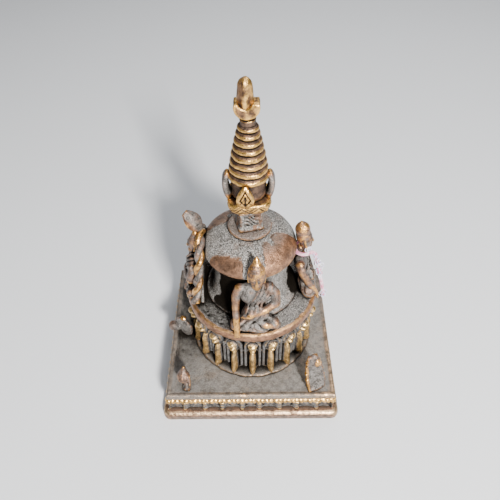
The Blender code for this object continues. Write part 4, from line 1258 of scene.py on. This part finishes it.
def leaf_outline(low, high, power, half_width):
    """Half widths of a leaf that swells from its foot and closes at its tip."""
    return np.maximum(half_width * np.sin(math.pi * np.linspace(low, high, 24)) ** power, 0.12)


def squareness(angle, power):
    """How far a square with rounded corners reaches, as a share of its half width."""
    return 1.0 / (np.abs(np.cos(angle)) ** power + np.abs(np.sin(angle)) ** power) ** (1.0 / power)


def turned_square(angle, radius, turn, power, half):
    """The reach of a square that is turned some degrees, and each point's place along its side."""
    local = angle - math.radians(turn)
    fold = (local + math.pi / 4) % (math.pi / 2) - math.pi / 4
    return radius * squareness(local, power), half * np.tan(fold)


def make_box_and_cornice():
    """The square box on the dome, and the cornice that carries the leaves."""
    box = [(2.0, 86.5), (4.9, 86.5), (5.0, 86.8), (4.95, 87.6), (4.55, 88.0), (4.45, 88.4), (4.5, 94.4),
           (4.85, 94.9), (4.9, 95.7), (4.7, 95.9), (2.0, 95.9)]

    def box_shape(angle, z, radius):
        """A sunk panel with generic raised strokes on each side."""
        square, u = turned_square(angle, radius, 13.0, 12, 4.6)
        v = z - 91.3
        panel = 0.35 * ramp(3.5 - np.abs(u), 0, 0.3) * ramp(2.6 - np.abs(v), 0, 0.3)
        strokes = ripples(math.pi * (0.8 * u + 1.1 * v + 0.5 * np.sin(1.3 * u)) / 1.9, 1)
        marks = 0.35 * ramp(strokes, 0.65, 0.95) * ramp(3.3 - np.abs(u), 0, 0.4)
        marks = marks * ramp(2.5 - np.abs(v), 0, 0.4) * (radius > 4)
        return square - panel + marks + 0.12 * fractal(ring_spots(angle, 4.5, z), 1.6, 101), z

    turned("harmika_box", box, 200, 0.25, "silver", BRONZE, BOX_X, box_shape,
           copper=lambda p: ramp(fractal(p, 3.0, 103), 0.0, 0.3) * 0.8,
           soot=lambda p: 0.22 + 0.2 * ramp(p[:, 2], 92.0, 95.0))

    cornice = [(3.5, 96.2), (5.1, 96.2), (6.2, 96.7), (7.3, 97.4), (7.9, 98.3), (8.15, 99.2), (8.3, 100.2),
               (8.2, 100.9), (7.8, 101.4), (7.2, 101.5), (3.5, 101.5)]

    def cornice_shape(angle, z, radius):
        """A cut band of chevrons under a cut line."""
        square, u = turned_square(angle, radius, 4.0, 3.6, 8.3)
        band = ramp(z, 97.6, 98.2) * ramp(101.2 - z, 0, 0.4)
        chevron = np.abs((u + 9.9) % 6.6 - 3.3) - 1.3 * (z - 97.9)
        marks = np.clip(hump(chevron, 0.42) + 0.8 * hump(chevron + 1.7, 0.36), 0, 1)
        rough = fractal(ring_spots(angle, 8, z), 1.8, 105)
        return square + band * (-0.65 * marks - 0.25 * hump(z - 101.0, 0.22)) + 0.12 * rough, z

    turned("harmika_cornice", cornice, 240, 0.26, "brass", BRASS, BOX_X, cornice_shape, polish=0.30)


def make_leaves():
    """The four leaves that stand on the cornice: engraved in front and at the back, plain at the sides."""
    def engraved(t, share, half):
        x = np.abs(t * half)
        groove = hump(x, 0.34) * (1 - ramp(abs(share - 0.40), 0.20, 0.32))
        diamond = np.abs(x / 1.8 + abs(share - 0.48) / 0.33 - 1.0)
        veins = np.abs(x / 1.1 + (share - 0.62) / 0.22)
        cut = hump(diamond, 0.17) + 0.7 * hump(veins, 0.2) * (abs(share - 0.45) < 0.2)
        return -0.9 * groove - 0.9 * np.clip(cut, 0, 1) + 0.25 * (1.0 - t * t)

    front = ([(7.6, 101.6), (8.6, 103.2), (9.3, 105.4), (9.3, 107.6), (8.8, 109.5), (8.1, 110.6)],
             leaf_outline(0.18, 0.97, 0.70, 3.2), 1.4, engraved, "brass", 0.55)
    beside = ([(7.1, 101.6), (7.8, 103.4), (8.3, 106.0), (8.3, 108.4), (7.7, 110.2), (6.9, 111.2)],
              leaf_outline(0.30, 0.97, 0.5, 3.5), 2.4, None, "figure", -0.45)
    for k, side in enumerate(SIDES):
        route, widths, thickness, face, look, worn = (front, beside)[k % 2]
        points, faces = leaf_mesh(curved(route, 6), widths, thickness, 0.05, face, 33)
        points = roughened(points, 0.06, 1.6, 110 + k)
        shift = -1.2 if side == "front" else 0.0
        add_piece(f"leaf_{side}_casting", placed(points, k, shift, 0.0, BOX_X), faces, look, BRASS,
                  [f"leaf_{side}"], polish=worn)


def make_finial():
    """The crescent, and the bud that stands in it."""
    clay = Clay((-5.6, -3.8, 131.6), (5.2, 3.8, 139.2), 0.22)
    outer = np.hypot((clay.x + 0.3) * 0.98, clay.z - 137.0) - 4.2
    inner = np.hypot((clay.x + 0.9) * 1.2, clay.z - 139.6) - 3.0
    flat = np.maximum(np.maximum(outer, -inner), clay.z - 138.3)
    side = np.abs(clay.y) - 2.75
    rounded = np.hypot(np.maximum(flat + 0.4, 0), np.maximum(side + 0.4, 0)) \
        + np.minimum(np.maximum(flat, side) + 0.4, 0) - 0.4
    clay.add(rounded)
    clay.add_ball((-0.1, 0.0, 133.4), (2.9, 2.2, 1.0), 0.3)
    # Brighter toward the right: a painted highlight on the side that faces the key light
    clay_piece("finial_crescent", clay, lambda p: p, "brass", BRASS, 121,
               polish=lambda p: 0.10 + 0.30 * ramp(p[:, 0], -3.0, 0.0))

    bud = curved([(0.9, 134.4), (1.9, 135.0), (2.45, 136.2), (2.75, 138.0), (2.75, 140.0), (2.6, 142.4),
                  (2.3, 144.3), (1.7, 145.4), (0.9, 145.95), (0.15, 146.0)], 8)

    def shape(angle, z, radius):
        square = 0.88 + 0.13 * (squareness(angle - math.radians(38), 4.0) - 1.0) / 0.19
        return radius * square + 0.14 * fractal(ring_spots(angle, 3, z), 2.4, 123) - 0.05, z

    # Brighter on the right: a painted highlight on the side that faces the key light
    turned("finial_bud", bud, 90, 0.2, "brass", BRONZE, BUD_X, shape,
           copper=lambda p: 0.8 * ramp(-p[:, 0] - 0.3 * p[:, 1] - 1.4, 0.0, 1.5),
           polish=lambda p: 0.05 + 0.35 * ramp(p[:, 0], -1.8, 0.0))


# Strands along a line


def carried_frames(line):
    """A side and an up direction for each point of a line, carried along without twist."""
    runs = np.gradient(line, axis=0)
    runs /= np.linalg.norm(runs, axis=1)[:, None]
    side = np.cross(runs[0], (0.0, 0.0, 1.0) if abs(runs[0][2]) < 0.9 else (1.0, 0.0, 0.0))
    sides = []
    for run in runs:
        side = side - run * (side @ run)
        side /= np.linalg.norm(side)
        sides.append(side)
    return np.array(sides), np.cross(runs, sides)


def tube(line, radius, sides):
    """Points and faces of a round tube along a line."""
    across, up = carried_frames(line)
    angles = np.linspace(0, 2 * math.pi, sides, endpoint=False)[None, :, None]
    return capped(line[:, None] + radius * (np.cos(angles) * across[:, None] + np.sin(angles) * up[:, None]))


def twisted(line, strands, reach, radius, pitch, sides):
    """Strands that wind round a line."""
    lengths = lengths_along(line)
    across, up = carried_frames(line)
    parts = []
    for k in range(strands):
        angle = 2 * math.pi * (lengths / pitch + k / strands)
        path = line + reach * (np.cos(angle)[:, None] * across + np.sin(angle)[:, None] * up)
        parts.append(tube(path, radius, sides))
    return parts


def joined(parts):
    """Several (points, faces) pairs as one."""
    points, faces, start = [], [], 0
    for some, quads in parts:
        points.append(some)
        faces += [[i + start for i in face] for face in quads]
        start += len(some)
    return np.vstack(points), faces


# Arched backplate

ROPE_ROUTE = ((12.6, 24.1, 52.4), (12.0, 23.2, 57.0), (11.1, 22.1, 63.0), (9.2, 21.1, 72.0),
              (5.6, 20.6, 78.6), (0.0, 20.5, 81.2))
ROPE_STRANDS = 2
ROPE_REACH = 0.85
ROPE_RADIUS = 1.25
ROPE_TWIST = 12.0
LEAF_FOOT = np.array((0.0, -20.4, 83.5))
LEAF_TURN = math.radians(-44.0)
LEAF_AXIS = Vector((0.0, -0.5, 0.87))


def make_backplate():
    """The left figure's twisted rope, the plate inside it, and the bent leaf on top."""
    half_route = curved([(x, -out, z) for x, out, z in ROPE_ROUTE], 10)
    mirrored = half_route[:-1][::-1] * np.array((-1.0, 1.0, 1.0))
    line = along_line(np.vstack([half_route, mirrored]), 0.35)
    strands = twisted(line, ROPE_STRANDS, ROPE_REACH, ROPE_RADIUS, ROPE_TWIST, 16)
    points, faces = joined(strands)
    points = roughened(points, 0.14, 2.2, 131)
    count = len(strands[0][0])
    add_piece("backplate_rope_casting", placed(points, 3), faces, "figure", BRASS, ["backplate_rope"],
              polish=np.repeat((-0.12, -0.80), count), soot=np.repeat((0.28, 0.35), count))

    clay = Clay((-12.6, -23.0, 49.9), (12.6, -19.4, 80.4), 0.36)
    edge = np.interp(clay.z[0, 0], half_route[:, 2], half_route[:, 0]) - 1.2
    arch = np.abs(clay.x) - edge[None, None, :]
    wave = 0.25 * np.sin(0.9 * clay.z + 0.5 * clay.x)
    plate = np.maximum(arch, np.abs(clay.y + 21.0 + 0.1 * wave) - 0.55)
    clay.add(np.maximum(plate, 50.3 - clay.z))
    clay.add(np.hypot(arch + 1.0, clay.y + 21.6) - 0.42, 0.3)
    scroll = np.hypot(np.abs(clay.x) - 5.6, (clay.z - 66.0) * 0.8)
    relief = 0.32 * ripples(1.5 * scroll, 1) * ramp(-arch, 1.2, 2.2)
    clay.field = clay.field - relief * (clay.y < -21.0)
    clay_piece("backplate_panel", clay, lambda p: placed(p, 3), "silver", BRONZE, 135, soot=0.30, polish=-0.6)

    path = curved([(20.1, 82.4), (20.6, 85.2), (22.2, 88.2), (24.4, 90.4), (26.1, 91.4)], 6)

    def face(t, share, half):
        return -0.35 * hump(t * half, 0.4) + 0.25 * hump(np.abs(t) - 0.85, 0.12)

    points, faces = leaf_mesh(path, leaf_outline(0.10, 0.86, 1.1, 3.5), 1.1, 0.22, face, 21)
    points = roughened(points, 0.08, 2.0, 137)
    copper = ramp(points[:, 0] + 0.4 * fractal(points, 2.0, 139), 1.2, 2.6)
    twist = np.array(Matrix.Rotation(LEAF_TURN, 3, LEAF_AXIS))
    points = LEAF_FOOT + (points - LEAF_FOOT) @ twist.T
    add_piece("backplate_leaf_casting", placed(points, 3), faces, "figure", BRASS, ["backplate_leaf"],
              copper=copper, polish=0.35 * copper - 0.4)


# Leaf ornaments on the deck

# Each ornament: name, x and y, turn in degrees, height, half width, knob, and the knob's shift
DECK_LEAVES = (
    ("front_right", 29.5, -33.6, 24.0, 16.6, 4.4, 1.9, 1.6),
    ("front_left", -29.6, -33.4, -24.0, 12.4, 3.6, 3.2, 0.0),
    ("left", -32.4, -4.4, -30.0, 11.0, 3.8, 2.4, 0.0),
    ("back_left", -29.5, 33.6, -156.0, 16.6, 4.4, 1.9, 1.6),
    ("back_right", 29.5, 33.6, 156.0, 16.6, 4.4, 1.9, -1.6),
)
KNOB_SHARE = 0.78


def worn_leaf(tall, half_width, knob, knob_x):
    """A worn leaf-shaped plate that leans back, with a knob on its face, as clay."""
    lean = 0.4 * tall
    reach = max(half_width, abs(knob_x) + knob) + 1.2
    clay = Clay((-reach, -knob - 3.2, 0.0), (reach, lean + 2.6, tall + 1.6), 0.30)
    up = np.clip(clay.z / tall, 0, 1)
    ragged = 0.22 * np.sin(2.3 * clay.z) + 0.18 * np.sin(4.1 * clay.z + 1.3)
    half = half_width * np.sin(math.pi * (0.30 + 0.62 * up)) ** 0.5 + ragged
    away = clay.y - lean * up ** 0.8 + 0.10 * (clay.x ** 2) / half_width
    flat = np.maximum(np.abs(clay.x) - half, clay.z - tall)
    clay.add(np.hypot(np.maximum(flat + 0.6, 0), np.maximum(np.abs(away) - 0.3, 0)) - 0.6)
    clay.add(np.maximum(np.hypot(clay.x + half - 0.5, away + 0.3) - 0.75, clay.z - tall), 0.4)
    clay.field = clay.field + 0.3 * (0.6 - ripples(1.5 * clay.x + 0.35 * clay.z, 0.7)) * (away < 0)
    clay.add_ball((0.0, 0.3, 0.4), (half_width * 0.9, 1.7, 1.4), 0.6)
    spot = (knob_x, lean * KNOB_SHARE ** 0.8 - knob * 0.45, tall * KNOB_SHARE)
    clay.add_ball(spot, (knob * 0.8, knob * 0.8, knob * 1.25))
    return clay, spot


def bud_on_stub(tall, knob):
    """A pointed bud on a short broken stub, leaning back, with a thin plate at its right."""
    clay = Clay((-knob - 1.8, -knob - 2.4, 0.0), (knob + 2.4, knob + 5.4, tall + 1.6), 0.26)
    middle = (-0.7, 1.9, tall * 0.56)
    clay.add_ball(middle, (knob * 0.92, knob * 0.85, knob * 1.05))
    clay.add_rod([middle, (-0.9, 3.4, tall - 0.4)], (knob * 0.75, 0.55), 0.8)
    clay.add_rod([(0.6, 0.6, 0.0), (1.0, 1.9, tall * 0.45)], (1.7, 1.1), 0.4)
    clay.add_rod([(2.0, 0.0, 0.0), (2.7, 0.9, tall * 0.35), (2.3, 1.9, tall * 0.75)], (0.8, 0.6, 0.35), 0.3)
    clay.cut(clay.ball((-0.9, -0.4, tall * 0.16), (1.7, 1.6, 1.5)), 0.3)
    clay.field = clay.field - 0.16 * (ripples(2.0 * clay.x + 0.6 * clay.z, 0.7) - 0.6)
    return clay, middle


def lobed_leaf(tall, half_width):
    """A rounded, lobed leaf with a bump on top and a pointed knob at its outer side."""
    clay = Clay((-half_width - 5.4, -4.4, 0.0), (half_width + 2.0, 6.6, tall + 1.6), 0.28)
    clay.add_ball((1.2, 1.2, tall * 0.42), (half_width * 0.95, 1.8, tall * 0.50))
    clay.add_ball((-1.4, 1.4, tall * 0.62), (half_width * 0.75, 1.6, tall * 0.34), 0.6)
    clay.add_ball((-0.4, 1.8, tall * 0.92), (1.5, 1.3, 1.5))
    stalk = (-half_width - 1.4, -0.4, tall * 0.36)
    clay.add_rod([(-2.2, 0.6, tall * 0.46), stalk], (2.2, 2.4))
    clay.add_rod([stalk, (-half_width - 3.6, -0.4, tall * 0.30)], (2.5, 0.8), 0.4)
    clay.field = clay.field - 0.25 * (ripples(1.1 * clay.x - 0.5 * clay.z, 0.7) - 0.6)
    return clay, (-half_width - 2.2, 0.0, tall * 0.40)


def make_deck_leaves():
    """The worn ornaments that stand on the deck."""
    for index, (name, x, y, turn, tall, half_width, knob, knob_x) in enumerate(DECK_LEAVES):
        amount = 0.95
        if name == "front_left":
            clay, spot = bud_on_stub(tall, knob)
        elif name == "left":
            clay, spot = lobed_leaf(tall, half_width)
        else:
            clay, spot = worn_leaf(tall, half_width, knob, knob_x)
            amount = 0.3
        clay.cut(clay.z - 0.05, 0.1)
        c, s = circle(turn)

        def place(p):
            return np.column_stack([x + c * p[:, 0] - s * p[:, 1], y + s * p[:, 0] + c * p[:, 1],
                                    p[:, 2] + DECK_TOP + 0.15])

        def rubbed(p):
            if name == "left":
                return 0.9 * near_ball(p, (-0.4, 1.2, tall), 2.2) + 0.4 * near_ball(p, spot, 3.0) - 0.5
            if name == "front_left":
                return 0.35 * near_ball(p, spot, knob * 1.6) - 0.25
            edge = ramp(-p[:, 0], 0.55 * half_width, 0.95 * half_width)
            return np.maximum(1.5 * near_ball(p, spot, knob * 1.9), 0.85 * edge) - 0.40

        clay_piece(f"deck_leaf_{name}", clay, place, "figure", BRASS, 150 + index, rough=0.16,
                   polish=rubbed, copper=lambda p: amount * near_ball(p, spot, knob * 2.0))


# Thread

THREAD_TAIL = ((-2.0, 24.9, 71.6), (-1.9, 26.0, 70.2), (-2.7, 27.0, 67.2), (-3.8, 28.1, 63.2),
               (-4.8, 29.2, 58.6), (-5.5, 30.3, 53.8), (-6.0, 31.2, 48.6))
NECK_REACH = 3.5
NECK_OUT = 21.3
NECK_HEIGHT = 71.9
YARN_STRANDS = 5
YARN_REACH = 0.50
YARN_RADIUS = 0.33
YARN_TWIST = 11.0
CORE_RADIUS = 0.34
LOOSE_RADIUS = 0.19
LOOP_RADIUS = 0.18
# Each loop: centre, the radii across and up, tilt, and how often it goes round
THREAD_LOOPS = (
    ((24.0, -2.0, 73.3), (1.5, 1.1), 0.5, 2.2), ((24.4, -2.2, 72.6), (1.2, 1.5), 1.3, 2.2),
    ((29.6, -4.0, 65.6), (1.5, 1.9), 0.2, 1.2), ((28.6, -3.6, 68.0), (1.0, 1.2), 1.0, 1.1),
    ((32.2, -5.8, 50.6), (1.3, 2.0), 0.3, 1.3), ((31.4, -5.8, 49.4), (1.0, 1.6), -0.5, 1.2),
)


def thread_route():
    """The thread's middle line: once round the right figure's neck, then down over the rim."""
    angles = [math.radians(25.0 + 280.0 * k / 14) for k in range(15)]
    points = [(NECK_REACH * math.sin(a), NECK_OUT + NECK_REACH * math.cos(a), NECK_HEIGHT) for a in angles]
    return placed(curved([(x, -out, z) for x, out, z in (*points, *THREAD_TAIL)], 2), 1)


def loose_strands(line, count, seed, spread):
    """Thin strands that wander beside the tail, widest below the knot and again at the end."""
    tail = line[int(len(line) * 0.44):]
    share = np.linspace(0, 1, len(tail))
    width = spread * (0.35 + hump(share - 0.28, 0.2) + 0.5 * ramp(share, 0.85, 1.0))
    parts = []
    for k in range(count):
        sway = np.stack([fractal(np.column_stack([share * 9.0, share * 0 + k, share * 0 + axis]), 1.0,
                                 seed + axis) for axis in range(3)], axis=1)
        lean = np.array((0.5, 0.6 * math.cos(2.4 * k), 0.0)) * (k - count / 2) / count
        path = tail + width[:, None] * (1.1 * sway + lean)
        path[:, 0] = np.maximum(path[:, 0], tail[:, 0] - 1.1)
        parts.append(tube(path, LOOSE_RADIUS, 6))
    return joined(parts)


def thread_loops():
    """The knot, and small loops that stand off the bundle."""
    parts = []
    for centre, radii, tilt, turns in THREAD_LOOPS:
        angle = np.linspace(0, 2 * math.pi * turns, int(26 * turns))
        across = radii[0] * np.sin(angle)
        up = radii[1] * np.cos(angle)
        drift = 0.25 * np.sin(0.7 * angle)
        c, s = math.cos(tilt), math.sin(tilt)
        path = np.column_stack([centre[0] + c * across - s * up * 0.5, centre[1] + s * across + drift,
                                centre[2] + up])
        parts.append(tube(path, LOOP_RADIUS, 6))
    return joined(parts)


def make_thread():
    """A pink bundle of cotton, with loose pink and white strands, a knot, loops and a frayed end."""
    route = thread_route()
    line = along_line(route, 0.4)
    outer = twisted(line, YARN_STRANDS, YARN_REACH, YARN_RADIUS, YARN_TWIST, 7)
    points, faces = joined(outer + [tube(line, CORE_RADIUS, 7)])
    points = roughened(points, 0.05, 0.8, 171)
    loose = [add_piece(name, *strands, look, COTTON, []) for name, strands, look in (
        ("thread_loose_white", loose_strands(line, 8, 173, 1.9), "white_cotton"),
        ("thread_loose_pink", loose_strands(line, 7, 191, 1.5), "pink_cotton"),
        ("thread_loops", thread_loops(), "white_cotton"))]
    piece = add_piece("thread_cord", points, faces, "pink_cotton", COTTON, ["thread"])


# Making the scene

make_camera()
make_studio()
MATERIALS = make_materials()
make_plinth()
make_deck()
make_lotus()
make_vase()
make_spire()
make_box_and_cornice()
make_leaves()
make_finial()
make_figures()
make_backplate()
make_deck_leaves()
make_thread()
